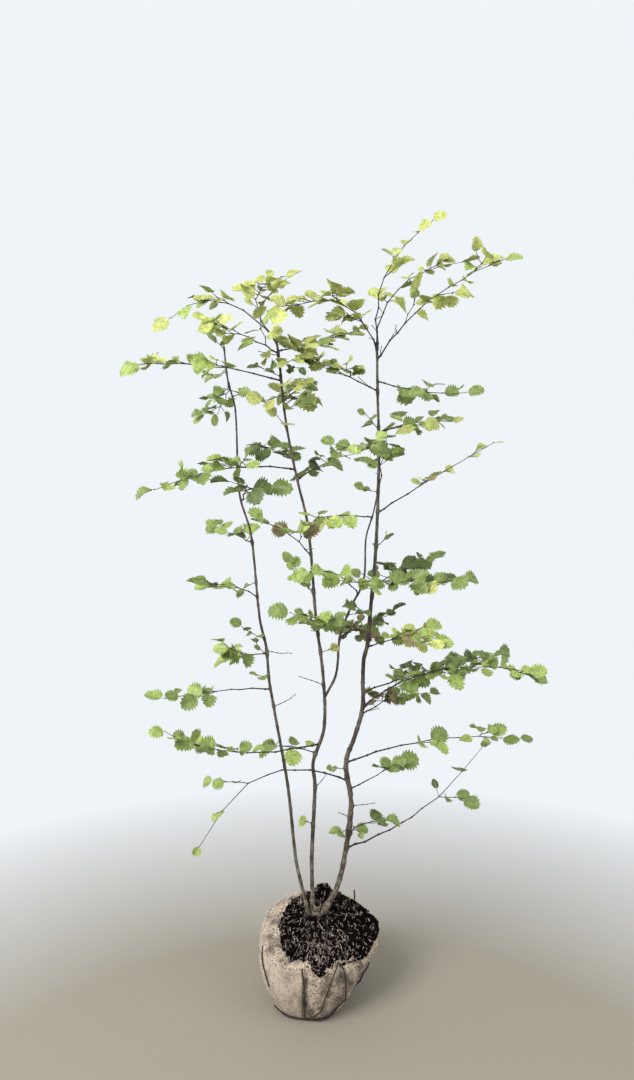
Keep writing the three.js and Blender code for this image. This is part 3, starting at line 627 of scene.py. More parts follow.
def grow_shoot(row, start, heading, length, leafy, chance, obstacles):
    """A finer shoot in kinked lengths, with a small leaf at each kink and at its tip where it is leafy."""
    steps = max(1, rounded(length / SHOOT_STEP))
    points, leaves = [start], []
    sign = 1 if chance.spread(0, 1) < 0.5 else -1
    for i in range(steps):
        sign = -sign
        heading = unit(heading + side_of(heading) * sign * chance.spread(0.15, 0.55)
                       + (0, 0, chance.spread(-0.15, 0.25)))
        end = points[-1] + heading * length / steps
        turn = chance.spread(-0.25, 0.4) if i + 1 == steps else chance.spread(0.6, 1.2)
        leaf = leaf_at(end, heading, sign, turn, LEAF_LENGTH * row.size * chance.spread(*SHOOT_LEAF), chance)
        if obstacles.blocks([(points[-1], end, FINE_TIP)], row.name):
            break
        points.append(end)
        if leafy and not obstacles.blocks(leaf_balls(leaf), row.name):
            leaves.append(leaf)
            obstacles.add(leaf_balls(leaf), row.name)
    last = max(1, len(points) - 1)
    return SimpleNamespace(line=[(i / last, point, sign) for i, point in enumerate(points)], leaves=leaves)


def grow_finer(mass, obstacles):
    """Finer wood and leaves that the solids leave out: the kinks, and short side shoots at the nodes."""
    row = mass.row
    chance = Chance(row.seed + 100)
    mass.line = kinked_line(row, mass.nodes, chance)
    for leaf in mass.leaves:
        leaf.base = point_on(mass.line, leaf.share)
    starts = []
    for share, point, sign in mass.line[1:-1]:
        ahead = unit(limb_point(row, share + 0.01) - limb_point(row, share - 0.01))
        leafy = share > row.bare
        longest = (LEAFY_SHOOT if leafy else BARE_SHOOT) * (1 - 0.4 * share)
        likely = LEAFY_CHANCE * row.full if leafy else BARE_CHANCE
        starts.append((point, ahead, -sign, leafy, likely, longest))
        if leafy and row.full > SECOND_FROM:
            starts.append((point, ahead, sign, True, row.full - SECOND_FROM, longest))
    for twig in mass.twigs:
        start, end = point_on(mass.line, twig.share), twig.route[-1][0]
        across = side_of(twig.heading) * twig.sign
        twig.line = [(0.0, start, 0),
                     (0.3, start + (end - start) * 0.3 + across * chance.spread(*KINK), twig.sign),
                     (0.62, start + (end - start) * 0.62 - across * chance.spread(*KINK), -twig.sign),
                     (1.0, end, 0)]
        for leaf in twig.leaves:
            leaf.base = point_on(twig.line, leaf.share)
        starts += [(point, twig.heading, -sign, True, TWIG_CHANCE * row.full, TWIG_SHOOT)
                   for _, point, sign in twig.line[1:-1]]
    mass.shoots = []
    for point, ahead, side, leafy, likely, longest in starts:
        turn = chance.spread(0.5, 1.1)
        heading = ahead * math.cos(turn) + side_of(ahead) * side * math.sin(turn)
        heading[2] += chance.spread(-0.25, 0.4)
        wanted = chance.spread(0, 1) < likely
        length = longest * chance.spread(0.25, 1)
        if wanted:
            shoot = grow_shoot(row, point, unit(heading), length, leafy, chance, obstacles)
            if len(shoot.line) > 1:
                mass.shoots.append(shoot)


def grow_stem_shoots(obstacles):
    """Small shoots straight from the stems, each with the stem's bark as its start."""
    shoots = []
    for i, (name, height, reach, tint) in enumerate(STEM_SHOOTS):
        limb = stem_named(name + "_stem")
        reach = np.array(reach, float)
        flat = unit(reach * (1, 1, 0))
        start = stem_point(limb, height) + flat * stem_radius(limb, height) * 0.8
        row = SimpleNamespace(name=limb.name, size=1.0, tints=[tint or "green"])
        shoot = grow_shoot(row, start, unit(reach), np.linalg.norm(reach), tint is not None,
                           Chance(700 + i), obstacles)
        shoot.row = row
        shoots.append(shoot)
    return shoots


# Meshes from points and faces

def turns_round(count):
    """Even turns round a circle."""
    return np.arange(count) * 2 * math.pi / count


class Joined:
    """The points, in millimetres, and the faces of one joined piece."""

    def __init__(self):
        self.points, self.faces, self.finishes, self.count = [], [], [], 0

    def add(self, points, faces):
        self.points.append(np.asarray(points, float).reshape(-1, 3))
        self.faces += [[corner + self.count for corner in face] for face in faces]
        self.finishes += [0] * len(faces)
        self.count += len(self.points[-1])

    def add_rings(self, rings):
        self.add(rings, ring_faces(*rings.shape[:2]))

    def add_tube(self, points, radii, sides):
        self.add_rings(tube_rings(points, radii, sides))


def ring_faces(rings, sides):
    """Faces between stacked rings, with a cap on each end."""
    low = np.arange(rings - 1)[:, None] * sides + np.arange(sides)
    high = np.arange(rings - 1)[:, None] * sides + (np.arange(sides) + 1) % sides
    faces = np.stack([low, high, high + sides, low + sides], -1).reshape(-1, 4).tolist()
    return faces + [list(range(sides))[::-1], list(range((rings - 1) * sides, rings * sides))]


def tube_rings(points, radii, sides):
    """Rings of points round a line, carried along without twist. A radius is one number or one a side."""
    points = np.asarray(points, float)
    turn = turns_round(sides)
    across = None
    rings = []
    for i, point in enumerate(points):
        heading = unit(points[min(i + 1, len(points) - 1)] - points[max(i - 1, 0)])
        across = side_of(heading) if across is None else unit(across - heading * (across @ heading))
        up = np.cross(heading, across)
        radius = np.broadcast_to(radii[i], sides)[:, None]
        rings.append(point + radius * (np.cos(turn)[:, None] * across + np.sin(turn)[:, None] * up))
    return np.array(rings)


def ripple(points, size, seed, octaves=3):
    """Smooth bumps of about that size over points, from about -1 to 1: waves in seeded directions."""
    rng = np.random.default_rng(seed)
    total = np.zeros(len(points))
    for octave in range(octaves):
        ways = rng.normal(size=(14, 3))
        ways *= (2 * math.pi * 2**octave / size) / np.linalg.norm(ways, axis=1)[:, None]
        phases = rng.uniform(0, 2 * math.pi, 14)
        total += np.sin(points @ ways.T + phases).sum(1) / 3.7 / 2**octave
    return total / 1.4


def bell(value, centre, width):
    return np.exp(-(((value - centre) / width) ** 2))


def add_piece(name, joined, materials, replaces=(), sharp=50):
    """Makes the piece, rides it on the plant and lets it stand for its solids."""
    mesh = bpy.data.meshes.new(name)
    mesh.from_pydata((np.concatenate(joined.points) * MM).tolist(), [], joined.faces)
    for material in materials:
        mesh.materials.append(material)
    mesh.polygons.foreach_set("material_index", joined.finishes)
    mesh.polygons.foreach_set("use_smooth", [True] * len(mesh.polygons))
    mesh.set_sharp_from_angle(angle=math.radians(sharp))
    mesh.validate()
    piece = bpy.data.objects.new(name, mesh)
    bpy.context.scene.collection.objects.link(piece)
    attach(piece, "root")
    if replaces:
        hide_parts(*replaces)
    return piece


# Shader effects, each made once and found again by its name

def effect(inputs, outputs):
    """Turns a function that wires a tree into one that gives its node group, made once.

    Inputs are (label, kind, value) and outputs (label, kind).
    """
    def wrapper(wire):
        @wraps(wire)
        def group():
            tree = bpy.data.node_groups.get(wire.__name__)
            if tree:
                return tree
            tree = bpy.data.node_groups.new(wire.__name__, "ShaderNodeTree")
            for label, kind, value in inputs:
                socket = tree.interface.new_socket(name=label, in_out="INPUT",
                                                   socket_type="NodeSocket" + kind)
                socket.default_value = value
            for label, kind in outputs:
                tree.interface.new_socket(name=label, in_out="OUTPUT", socket_type="NodeSocket" + kind)
            given = tree.nodes.new("NodeGroupInput").outputs
            made = tree.nodes.new("NodeGroupOutput").inputs
            for label, value in wire(tree, given).items():
                tree.links.new(value, made[label])
            return tree
        return group
    return wrapper


def maths(tree, operation, *values):
    """A Math node whose inputs are numbers or other sockets, and its output."""
    node = tree.nodes.new("ShaderNodeMath")
    node.operation = operation
    for socket, value in zip(node.inputs, values):
        if isinstance(value, bpy.types.NodeSocket):
            tree.links.new(value, socket)
        else:
            socket.default_value = value
    return node.outputs[0]


def own_place(tree):
    """The piece's own coordinates, whole and in parts."""
    place = tree.nodes.new("ShaderNodeTexCoord").outputs["Object"]
    parts = tree.nodes.new("ShaderNodeSeparateXYZ")
    tree.links.new(place, parts.inputs[0])
    return place, parts.outputs


def stretched_place(tree, stretch):
    """The piece's own coordinates, drawn out along Z."""
    _, parts = own_place(tree)
    whole = tree.nodes.new("ShaderNodeCombineXYZ")
    tree.links.new(parts["X"], whole.inputs["X"])
    tree.links.new(parts["Y"], whole.inputs["Y"])
    tree.links.new(maths(tree, "DIVIDE", parts["Z"], stretch), whole.inputs["Z"])
    return whole.outputs[0]


def noise_at(tree, place, size, detail):
    """A noise pattern of a size, which is a socket or a number, in metres."""
    noise = tree.nodes.new("ShaderNodeTexNoise")
    noise.inputs["Detail"].default_value = detail
    tree.links.new(place, noise.inputs["Vector"])
    tree.links.new(maths(tree, "DIVIDE", 1, size), noise.inputs["Scale"])
    return noise.outputs["Fac"]


def ramped(tree, value, low, high):
    """The value from 0 at low to 1 at high."""
    node = tree.nodes.new("ShaderNodeMapRange")
    node.inputs["From Min"].default_value = low
    node.inputs["From Max"].default_value = high
    tree.links.new(value, node.inputs["Value"])
    return node.outputs["Result"]


def mixed(tree, share, first, second):
    node = tree.nodes.new("ShaderNodeMix")
    node.data_type = "RGBA"
    for socket, value in ((node.inputs["Factor"], share), (node.inputs[6], first), (node.inputs[7], second)):
        if isinstance(value, bpy.types.NodeSocket):
            tree.links.new(value, socket)
        else:
            socket.default_value = value if isinstance(value, (int, float)) else (*value, 1)
    return node.outputs[2]


@effect([("Base", "Color", (1, 1, 1, 1)), ("Patch", "Color", (0, 0, 0, 1)), ("Size", "Float", 0.01),
         ("Stretch", "Float", 1), ("Amount", "Float", 1), ("Cover", "Float", 0.5)],
        [("Colour", "Color"), ("Mask", "Float")])
def patchy_colour(tree, given):
    """Two colours in soft patches, where Cover is about the share that the patches take."""
    pattern = noise_at(tree, stretched_place(tree, given["Stretch"]), given["Size"], 4)
    pattern = maths(tree, "MULTIPLY_ADD", given["Cover"], 0.4, maths(tree, "SUBTRACT", pattern, 0.2))
    mask = maths(tree, "MULTIPLY", ramped(tree, pattern, 0.42, 0.6), given["Amount"])
    return {"Colour": mixed(tree, mask, given["Base"], given["Patch"]), "Mask": mask}


@effect([("Size", "Float", 0.002), ("Stretch", "Float", 1)], [("Height", "Float")])
def fine_relief(tree, given):
    """A rough height for a Bump node."""
    return {"Height": noise_at(tree, stretched_place(tree, given["Stretch"]), given["Size"], 6)}


@effect([("Thread", "Float", 0.002), ("Radius", "Float", 0.15)], [("Height", "Float"), ("Shade", "Float")])
def jute_weave(tree, given):
    """Threads round and up an upright round body, uneven as hand-spun jute is: their height, and painted
    shade in the gaps.
    """
    place, parts = own_place(tree)
    shift = maths(tree, "MULTIPLY", noise_at(tree, place, 0.03, 2), 0.012)
    around = maths(tree, "MULTIPLY", maths(tree, "ARCTAN2", parts["Y"], parts["X"]), given["Radius"])
    waves = []
    for way in (around, parts["Z"]):
        turns = maths(tree, "DIVIDE", maths(tree, "ADD", way, shift), given["Thread"])
        waves.append(maths(tree, "SINE", maths(tree, "MULTIPLY", turns, 2 * math.pi)))
    uneven = noise_at(tree, stretched_place(tree, 4), 0.004, 3)
    height = maths(tree, "ADD", maths(tree, "MAXIMUM", *waves), maths(tree, "MULTIPLY", uneven, 1.5))
    # Painted shade: 0 where the threads lie low, so the cloth is darkened in the gaps between them
    return {"Height": height, "Shade": ramped(tree, height, -0.4, 1.9)}


@effect([("Low", "Float", 0), ("High", "Float", 0.05)], [("Mask", "Float")])
def ground_stain(tree, given):
    """A ragged mask that fades out from a low edge upwards."""
    place, parts = own_place(tree)
    rise = maths(tree, "SUBTRACT", parts["Z"], given["Low"])
    share = maths(tree, "DIVIDE", rise, maths(tree, "SUBTRACT", given["High"], given["Low"]))
    ragged = maths(tree, "ADD", share, maths(tree, "MULTIPLY", noise_at(tree, place, 0.02, 4), 1.4))
    return {"Mask": ramped(tree, ragged, 1.25, 0.55)}


@effect([("Near", "Float", 0.5), ("Far", "Float", 1.6)], [("Mask", "Float")])
def faded_edge(tree, given):
    """A round mask that is whole within the near distance from the middle and fades out to the far one."""
    _, parts = own_place(tree)
    squares = [maths(tree, "MULTIPLY", parts[axis], parts[axis]) for axis in "XY"]
    away = maths(tree, "SQRT", maths(tree, "ADD", *squares))
    span = maths(tree, "SUBTRACT", given["Far"], given["Near"])
    share = maths(tree, "DIVIDE", maths(tree, "SUBTRACT", given["Far"], away), span)
    return {"Mask": ramped(tree, share, 0, 1)}


# Materials

def finish(name, roughness, specular=0.4, sheen=0.0):
    """A new material with its plain values set, its node tree and its shader."""
    material = bpy.data.materials.new(name)
    material.use_nodes = True
    tree = material.node_tree
    shader = tree.nodes["Principled BSDF"]
    shader.inputs["Roughness"].default_value = roughness
    shader.inputs["Specular IOR Level"].default_value = specular
    if sheen:
        shader.inputs["Sheen Weight"].default_value = sheen
        shader.inputs["Sheen Roughness"].default_value = 0.6
    return material, tree, shader


def place_group(tree, group, **values):
    """The group in a material, with its own values."""
    node = tree.nodes.new("ShaderNodeGroup")
    node.node_tree = group
    for label, value in values.items():
        node.inputs[label].default_value = (*value, 1) if len(np.shape(value)) else value
    return node


def patch_colour(tree, shader, first, patch, size, amount, stretch=1.0, cover=0.5):
    """Patches of a colour over a first colour or over another group's colour, led to the shader."""
    patches = place_group(tree, patchy_colour(), Patch=patch, Size=size, Amount=amount, Stretch=stretch,
                          Cover=cover)
    if isinstance(first, bpy.types.NodeSocket):
        tree.links.new(first, patches.inputs["Base"])
    else:
        patches.inputs["Base"].default_value = (*first, 1)
    tree.links.new(patches.outputs["Colour"], shader.inputs["Base Color"])
    return patches.outputs["Colour"]


def bump(tree, shader, height, strength, distance):
    node = tree.nodes.new("ShaderNodeBump")
    node.inputs["Strength"].default_value = strength
    node.inputs["Distance"].default_value = distance
    tree.links.new(height, node.inputs["Height"])
    tree.links.new(node.outputs["Normal"], shader.inputs["Normal"])


def rough_grain(tree, shader, size, strength, distance, stretch=1.0):
    grain = place_group(tree, fine_relief(), Size=size, Stretch=stretch)
    bump(tree, shader, grain.outputs["Height"], strength, distance)


def patchy_finish(name, first, patch, size, amount, roughness, specular=0.4, grain=None, cover=0.5):
    """A new material in two colours. A grain has a size, a strength and a depth."""
    material, tree, shader = finish(name, roughness, specular)
    patch_colour(tree, shader, first, patch, size, amount, cover=cover)
    if grain:
        rough_grain(tree, shader, *grain)
    return material


def shade_of(value, factor):
    return tuple(min(1, channel * factor) for channel in value)


def leaf_finish(tint, under=False):
    """The upper skin of a leaf, or its paler and duller underside."""
    base = tuple(getattr(bpy.context.scene.sapling_leaves, tint))
    if under:
        base = tuple(channel * 1.04 + down * 0.05 for channel, down in zip(base, LEAF_DOWN))
    name, roughness = (f"leaf_{tint}_under", 0.72) if under else (f"leaf_{tint}", 0.46)
    grain = (0.0016, 0.25, 0.0004)
    return patchy_finish(name, base, shade_of(base, 0.56), 0.008, 0.75, roughness, grain=grain)


def wood_finish(name, dark, pale, size, amount, stretch=3.0, aged=None):
    """Dark wood in pale patches with furrows along it. Aged is the patch colour at the foot of a stem."""
    made = bpy.data.materials.get(name)
    if made:
        return made
    material, tree, shader = finish(name, 0.8, 0.3)
    patches = patch_colour(tree, shader, dark, pale, size, amount, stretch)
    if aged:
        old = patch_colour(tree, shader, shade_of(dark, 0.7), aged, size * 0.55, 1.0, stretch, 0.54)
        foot = place_group(tree, ground_stain(), Low=0.2, High=1.0)
        patches = mixed(tree, foot.outputs["Mask"], patches, old)
    patch_colour(tree, shader, patches, shade_of(dark, 0.4), size / 5, 0.7)
    rough_grain(tree, shader, 0.003, 0.9, 0.0018, stretch * 1.5)
    return material


def bark():
    settings = bpy.context.scene.sapling_bark
    pale = tuple(settings.pale)
    return wood_finish("stem_wood", tuple(settings.dark), shade_of(pale, 0.6), 0.014, 0.8, aged=pale)


def twig_bark():
    settings = bpy.context.scene.sapling_bark
    return wood_finish("twig_wood", tuple(settings.twig), shade_of(settings.pale, 0.3), 0.01, 0.4, 1.0)


# Stems, boughs and twigs

def bark_rings(points, radii, sides, seed, knots=()):
    """Rings with the bark's relief: fine furrows, and a swelling at each knot (a place, a size, a spread)."""
    rings = tube_rings(points, radii, sides)
    relief = bpy.context.scene.sapling_bark.relief
    centres = np.asarray(points)[:, None, :]
    flat = rings.reshape(-1, 3)
    grain = ripple(flat * (1, 1, 0.35), 9, seed) * 0.8 + ripple(flat, 3.5, seed + 1, 2) * 0.45
    swell = 1 + relief * grain.reshape(len(points), sides, 1)
    for place, size, spread in knots:
        away = np.linalg.norm(flat - place, axis=1).reshape(len(points), sides, 1)
        swell += size * np.exp(-((away / spread) ** 2))
    return centres + (rings - centres) * swell


def stem_bark(limb, places):
    """One stem from its foot to its tip, thicker at its growth nodes and where a twig leaves it."""
    low, high = limb.foot[2] - (6 if limb.flare else 0), limb.tip[2]
    steps = rounded((high - low) / STEM_RING)
    heights = [low + (high - low) * i / steps for i in range(steps + 1)]
    chance = Chance(len(limb.name) + 40)
    nodes = [low + 40]
    while nodes[-1] < high:
        nodes.append(nodes[-1] + chance.spread(*GROWTH_NODE.spacing))
    points, radii = [], []
    for height in heights:
        points.append(stem_point(limb, height) + (0, 0, min(0, height - limb.foot[2])))
        ring = sum(math.exp(-((height - node) / GROWTH_NODE.spread) ** 2) for node in nodes)
        radii.append(stem_radius(limb, max(height, limb.foot[2])) * (1 + GROWTH_NODE.swell * ring))
    knots = [(place, CROTCH.swell, CROTCH.spread) for place in places]
    if limb.name == KNOB.stem:
        knots.append((stem_point(limb, KNOB.height) + KNOB.off, KNOB.swell, KNOB.spread))
    return bark_rings(points, radii, 18, len(limb.name), knots)


def limb_line(keys, start, end, length, ring):
    """Shares and points along a kinked limb between two shares of its length, close together at its kinks."""
    shares = set(np.linspace(start, end, max(2, rounded(length * (end - start) / ring)) + 1))
    for share, _, sign in keys:
        for offset in (-2.4, 0, 2.4):
            if sign and start < share + offset / length < end:
                shares.add(share + offset / length)
    shares = sorted(shares)
    return shares, [point_on(keys, share) for share in shares]


def limb_radii(keys, shares, length, thick, curve):
    """Radii that taper to a fine tip, and swell where a leaf or shoot leaves the limb."""
    radii = []
    for share in shares:
        near = sum(math.exp(-(((share - key) * length / TWIG_NODE.spread) ** 2))
                   for key, _, sign in keys if sign)
        radii.append((thick + (FINE_TIP - thick) * share**curve) * (1 + TWIG_NODE.swell * near))
    return radii


def spray_limb(mass, start, end, ring=TWIG_RING):
    """Points and radii of a spray's own limb between two shares of its length."""
    length = np.linalg.norm(mass.row.reach)
    shares, points = limb_line(mass.line, start, end, length, ring)
    radii = limb_radii(mass.line, shares, length, TIP_RADIUS + length / REACH_PER_RADIUS, 0.7)
    flared = [radius * (1 + 0.6 * math.exp(-share * length / 6)) for share, radius in zip(shares, radii)]
    return points, flared


def make_stems():
    masses, shoots = grown_plant()
    for limb in STEMS:
        joined = Joined()
        places = [point_on(mass.line, 0.02) for mass in masses if mass.row.stem == limb.name]
        places += [shoot.line[0][1] for shoot in shoots if shoot.row.name == limb.name]
        joined.add_rings(stem_bark(limb, places))
        add_piece(limb.name + "_bark", joined, [bark()], [limb.name])


def make_boughs():
    for mass in grown_plant()[0]:
        if not mass.row.bough:
            continue
        points, radii = spray_limb(mass, 0, mass.row.bare, 3)
        joined = Joined()
        joined.add_rings(bark_rings(points, radii, 12, mass.row.seed))
        add_piece(mass.row.name + "_bough_bark", joined, [twig_bark()], [mass.row.name + "_bough"])


def make_twigs():
    joined = Joined()
    masses, stem_shoots = grown_plant()
    finer = [(shoot, 1.05, 6) for shoot in stem_shoots if len(shoot.line) > 1]
    for mass in masses:
        points, radii = spray_limb(mass, mass.row.bare if mass.row.bough else 0, 1)
        joined.add_tube(points, radii, 7)
        finer += [(twig, 1.15, TWIG_RING) for twig in mass.twigs]
        finer += [(shoot, 0.9, 6) for shoot in mass.shoots]
    for limb, thick, ring in finer:
        length = sum(np.linalg.norm(high[1] - low[1]) for low, high in zip(limb.line, limb.line[1:]))
        shares, points = limb_line(limb.line, 0, 1, length, ring)
        joined.add_tube(points, limb_radii(limb.line, shares, length, thick, 1), 6)
    add_piece("twigs", joined, [twig_bark()], [row.name + "_spray" for row in SPRAYS])


# Leaves

def dealt_leaves():
    """(leaf, tint, name of its spray) for every leaf. Most take their spray's usual tint."""
    dealt = []
    masses, stem_shoots = grown_plant()
    for i, mass in enumerate((*masses, *stem_shoots)):
        chance = Chance(i + 500)
        tints = mass.row.tints
        leaves = list(mass.leaves)
        name = None
        if i < len(masses):
            name = mass.row.name + "_spray"
            for bearer in (*mass.twigs, *mass.shoots):
                leaves += bearer.leaves
        for leaf in leaves:
            usual = chance.spread(0, 1) < 0.66 or len(tints) == 1
            other = tints[int(chance.spread(1, len(tints)))] if len(tints) > 1 else tints[0]
            dealt.append((leaf, tints[0] if usual else other, name))
    return dealt


def half_width(along):
    """Half the width of a leaf where its edge is that far along it, both as shares of its length."""
    return 0.83 * along**0.45 * (1 - along) ** 0.62


def blade_outline():
    """One side of a blade's grid: rows along the veins and between them, as shares of the leaf's length."""
    settings = bpy.context.scene.sapling_leaves
    grid = []
    for k in range(2 * TEETH + 1):
        vein = k % 2
        edge = 0.02 + 0.93 * k / (2 * TEETH)
        rib = 0.72 * edge
        half = half_width(edge) * (1 + settings.tooth * (0.5 if vein else -0.5))
        edge += 0.034 if vein else -0.016
        row = []
        for out, ridge in ((0, 0), (0.35, 0.9), (0.7, 1), (1, 0.55)):
            along = STALK_SHARE + (1 - STALK_SHARE) * (rib + (edge - rib) * out**1.15)
            row.append((along, half * out, settings.pleat * ridge * (-1 if vein else 1)))
        grid.append(row)
    return grid


def blade():
    """A flat leaf of length 1: the points of its upper skin, its upper and edge faces, its under faces."""
    grid = blade_outline()
    count = len(grid)
    points = [row[0] for row in grid] + [(1, 0, 0)]
    tip = count
    faces, edges = [], []
    for side in (1, -1):
        first = len(points)
        points += [(x, y * side, z) for row in grid for x, y, z in row[1:]]
        rows = [[k, *range(first + 3 * k, first + 3 * k + 3)] for k in range(count)]
        for low, high in zip(rows, rows[1:]):
            faces += [[low[c], high[c], high[c + 1], low[c + 1]][::side] for c in range(3)]
        faces += [[rows[-1][c], tip, rows[-1][c + 1]][::side] for c in range(3)]
        edges.append([*rows[0], *(row[3] for row in rows[1:]), tip])
    there, back = edges
    rim = there + back[-2:0:-1]
    top = [face[::-1] for face in faces]
    under = [[corner + len(points) for corner in face] for face in faces]
    around = [[a, a + len(points), b + len(points), b] for a, b in zip(rim, rim[1:] + rim[:1])]
    return np.array(points), top + around, under


def shaped_blade(flat, leaf, rng):
    """The leaf's two skins in place: folded up along the midrib, drooping to the tip, waved at the edge."""
    x, y, z = flat.T
    fold, droop = rng.uniform(*BLADE_FOLD), rng.uniform(*BLADE_DROOP)
    wave, phase = rng.uniform(*BLADE_WAVE), rng.uniform(0, 2 * math.pi)
    width, twist = rng.uniform(*BLADE_WIDTH), rng.uniform(*BLADE_TWIST)
    oblique = rng.uniform(*BLADE_OBLIQUE)
    along = x + oblique * y * (1 - x)
    aside = y * width * (1 + 0.96 * oblique * np.sign(y))
    past = np.maximum(0, x - STALK_SHARE)
    rise = z + fold * np.abs(aside) ** 1.15 - droop * past**2 + twist * aside * past
    rise += wave * np.sin(9 * x + phase + 2 * np.sign(y)) * (np.abs(y) / 0.38) ** 2
    along -= 0.5 * (droop * past) ** 2
    skin = bpy.context.scene.sapling_leaves.skin / MM
    upper = (leaf.base + leaf.length * (along[:, None] * leaf.tip + aside[:, None] * leaf.across
                                        + rise[:, None] * leaf.face))
    return np.concatenate([upper, upper - skin * leaf.face])


def make_leaves():
    flat, top, under = blade()
    pieces = {tint: Joined() for tint in TINTS}
    stands_for = {tint: set() for tint in TINTS}
    rng = np.random.default_rng(7)
    skins = []
    for leaf, tint, name in dealt_leaves():
        joined = pieces[tint]
        skins.append(shaped_blade(flat, leaf, rng))
        joined.add(skins[-1], top)
        start = joined.count - len(skins[-1])
        joined.faces += [[corner + start for corner in face] for face in under]
        joined.finishes += [1] * len(under)
        if name:
            stands_for[tint].add(name)
    for tint, joined in pieces.items():
        add_piece("leaves_" + tint, joined, [leaf_finish(tint), leaf_finish(tint, True)],
                  sorted(stands_for[tint]), sharp=60)
    make_veins(skins)


def vein_lines():
    """The midrib and the side veins as corners of the blade's grid, with their two radii in millimetres."""
    rows = 2 * TEETH + 1
    lines = [([0, 3, 7, 10, rows], 0.75, 0.4)]
    for first in (rows + 1, rows + 1 + 3 * rows):
        lines += [([k, first + 3 * k, first + 3 * k + 2], 0.5, 0.3) for k in range(1, rows, 2)]
    return lines


def make_veins(skins):
    """Raised veins through the leaves, so that they show on both skins."""
    joined = Joined()
    lines = vein_lines()
    for skin in skins:
        half = len(skin) // 2
        middle = (skin[:half] + skin[half:]) / 2
        for corners, thick, thin in lines:
            joined.add_tube(middle[corners], np.linspace(thick, thin, len(corners)), 3)
    vein = tuple(bpy.context.scene.sapling_leaves.vein)
    material = patchy_finish("leaf_vein", vein, shade_of(vein, 0.7), 0.02, 0.6, 0.6)
    add_piece("leaf_veins", joined, [material])


def make_leaf_stalks():
    joined = Joined()
    for leaf, _, _ in dealt_leaves():
        blade_start = leaf.base + leaf.tip * leaf.length * (STALK_SHARE + 0.04)
        middle = (leaf.base + blade_start) / 2 + leaf.face * leaf.length * 0.025
        joined.add_tube([leaf.base - leaf.tip * 0.5, middle, blade_start], [0.75, 0.5, 0.42], 5)
    stalk = tuple(bpy.context.scene.sapling_leaves.stalk)
    material = patchy_finish("leaf_stalk", stalk, shade_of(stalk, 0.6), 0.006, 0.6, 0.55)
    add_piece("leaf_stalks", joined, [material])


def make_buds():
    """A small pointed bud in the crook of each leaf, and at the end of each bare spur."""
    joined = Joined()
    profile = [(0, 0.5), (0.25, 0.95), (0.5, 1), (0.75, 0.66), (1, 0.12)]
    masses, stem_shoots = grown_plant()
    places = [(leaf.base, unit(leaf.tip + (0, 0, 0.7))) for leaf, _, _ in dealt_leaves()]
    for shoot in (*stem_shoots, *(shoot for mass in masses for shoot in mass.shoots)):
        if not shoot.leaves and len(shoot.line) > 1:
            places.append((shoot.line[-1][1], unit(shoot.line[-1][1] - shoot.line[-2][1])))
    chance = Chance(900)
    for base, way in places:
        length = chance.spread(3.0, 5.6)
        joined.add_tube([base + way * length * along for along, _ in profile],
                        [length * 0.27 * out for _, out in profile], 5)
    bud = tuple(bpy.context.scene.sapling_bark.bud)
    material = patchy_finish("bud_scales", bud, shade_of(bud, 0.45), 0.002, 0.7, 0.6)
    add_piece("buds", joined, [material])


# Root ball

def around_bell(turn, centre, width):
    """A bell over turns round the ball, which meets itself after a whole turn."""
    away = (turn - centre + math.pi) % (2 * math.pi) - math.pi
    return np.exp(-((away / width) ** 2))


def rim_height(turn):
    notch = RIM_NOTCH.depth * around_bell(turn, RIM_NOTCH.turn, RIM_NOTCH.width)
    return RIM_MIDDLE + RIM_TILT * np.sin(turn) + RIM_WAVE * np.sin(3 * turn + 0.2) - notch


def ball_radius(turn, height):
    rise = np.minimum(1, height / WIDEST_HEIGHT)
    belly = BASE_RADIUS + (WIDEST_RADIUS - BASE_RADIUS) * np.sin(rise * math.pi / 2) ** 0.9
    above = np.maximum(0, (height - WIDEST_HEIGHT - 5) / SHOULDER_HEIGHT)
    foot = FOOT_ROUND * np.maximum(0, 1 - height / FOOT_ROUND) ** 2
    tuck = FLANK_TUCK.depth * np.exp((np.cos(turn - FLANK_TUCK.turn) - 1) / FLANK_TUCK.width) * (1 - rise**2)
    folds = FOLD_DEPTH * (0.35 + 0.65 * rise) * (np.sin(5 * turn + 0.6) + 0.6 * np.sin(9 * turn + 2))
    return belly - SHOULDER_DROP * above**1.3 - foot - tuck + folds


def ball_point(turn, height, proud=0.0):
    """Points on the wrap's outside, a little proud of it."""
    radius = ball_radius(turn, height) + proud
    low = np.maximum(0, 1 - height / WIDEST_HEIGHT)
    return np.stack([BASE_SHIFT[0] * low + radius * np.cos(turn), BASE_SHIFT[1] * low + radius * np.sin(turn),
                     height * np.ones_like(turn)], -1)


# The front of the wrap: a clean panel laps over a muddied one, which is tucked in at a seam further right
FRONT = 1.5 * math.pi
LAP_TURN = FRONT - 0.235
LAP_WIDTH = 0.17
SEAM_TURN = FRONT + 0.34
FLAP_MIDDLE = 0.98 * math.pi
SIDE_ROWS = 46
SPILL_TURN = 1.95 * math.pi

# Twine drawn down the wrap, in runs of keys: a turn from the front and a share of the rim's height
TWINE_RUNS = [
    [(-1.19, 1.0), (-1.09, 0.88), (-1.05, 0.81), (-0.94, 0.68), (-0.84, 0.55)],
    [(-0.27, 1.0), (-0.20, 0.67), (-0.18, 0.09)],
    [(0.33, 1.0), (0.22, 0.89), (0.15, 0.62), (0.11, 0.29), (-0.05, 0.08)],
    [(0.35, 1.0), (0.40, 0.92), (0.63, 0.35)],
    [(0.93, 0.90), (0.96, 0.60), (1.21, 0.30)],
    [(-1.05, 0.06), (-0.31, 0.04), (0.41, 0.05), (0.63, 0.35)],
    [(2.3, 0.98), (2.2, 0.6), (2.35, 0.1)],
    [(3.9, 0.98), (4.0, 0.5), (3.85, 0.1)],
]
TWINE = SimpleNamespace(radius=1.9, proud=1.4, corners=44)


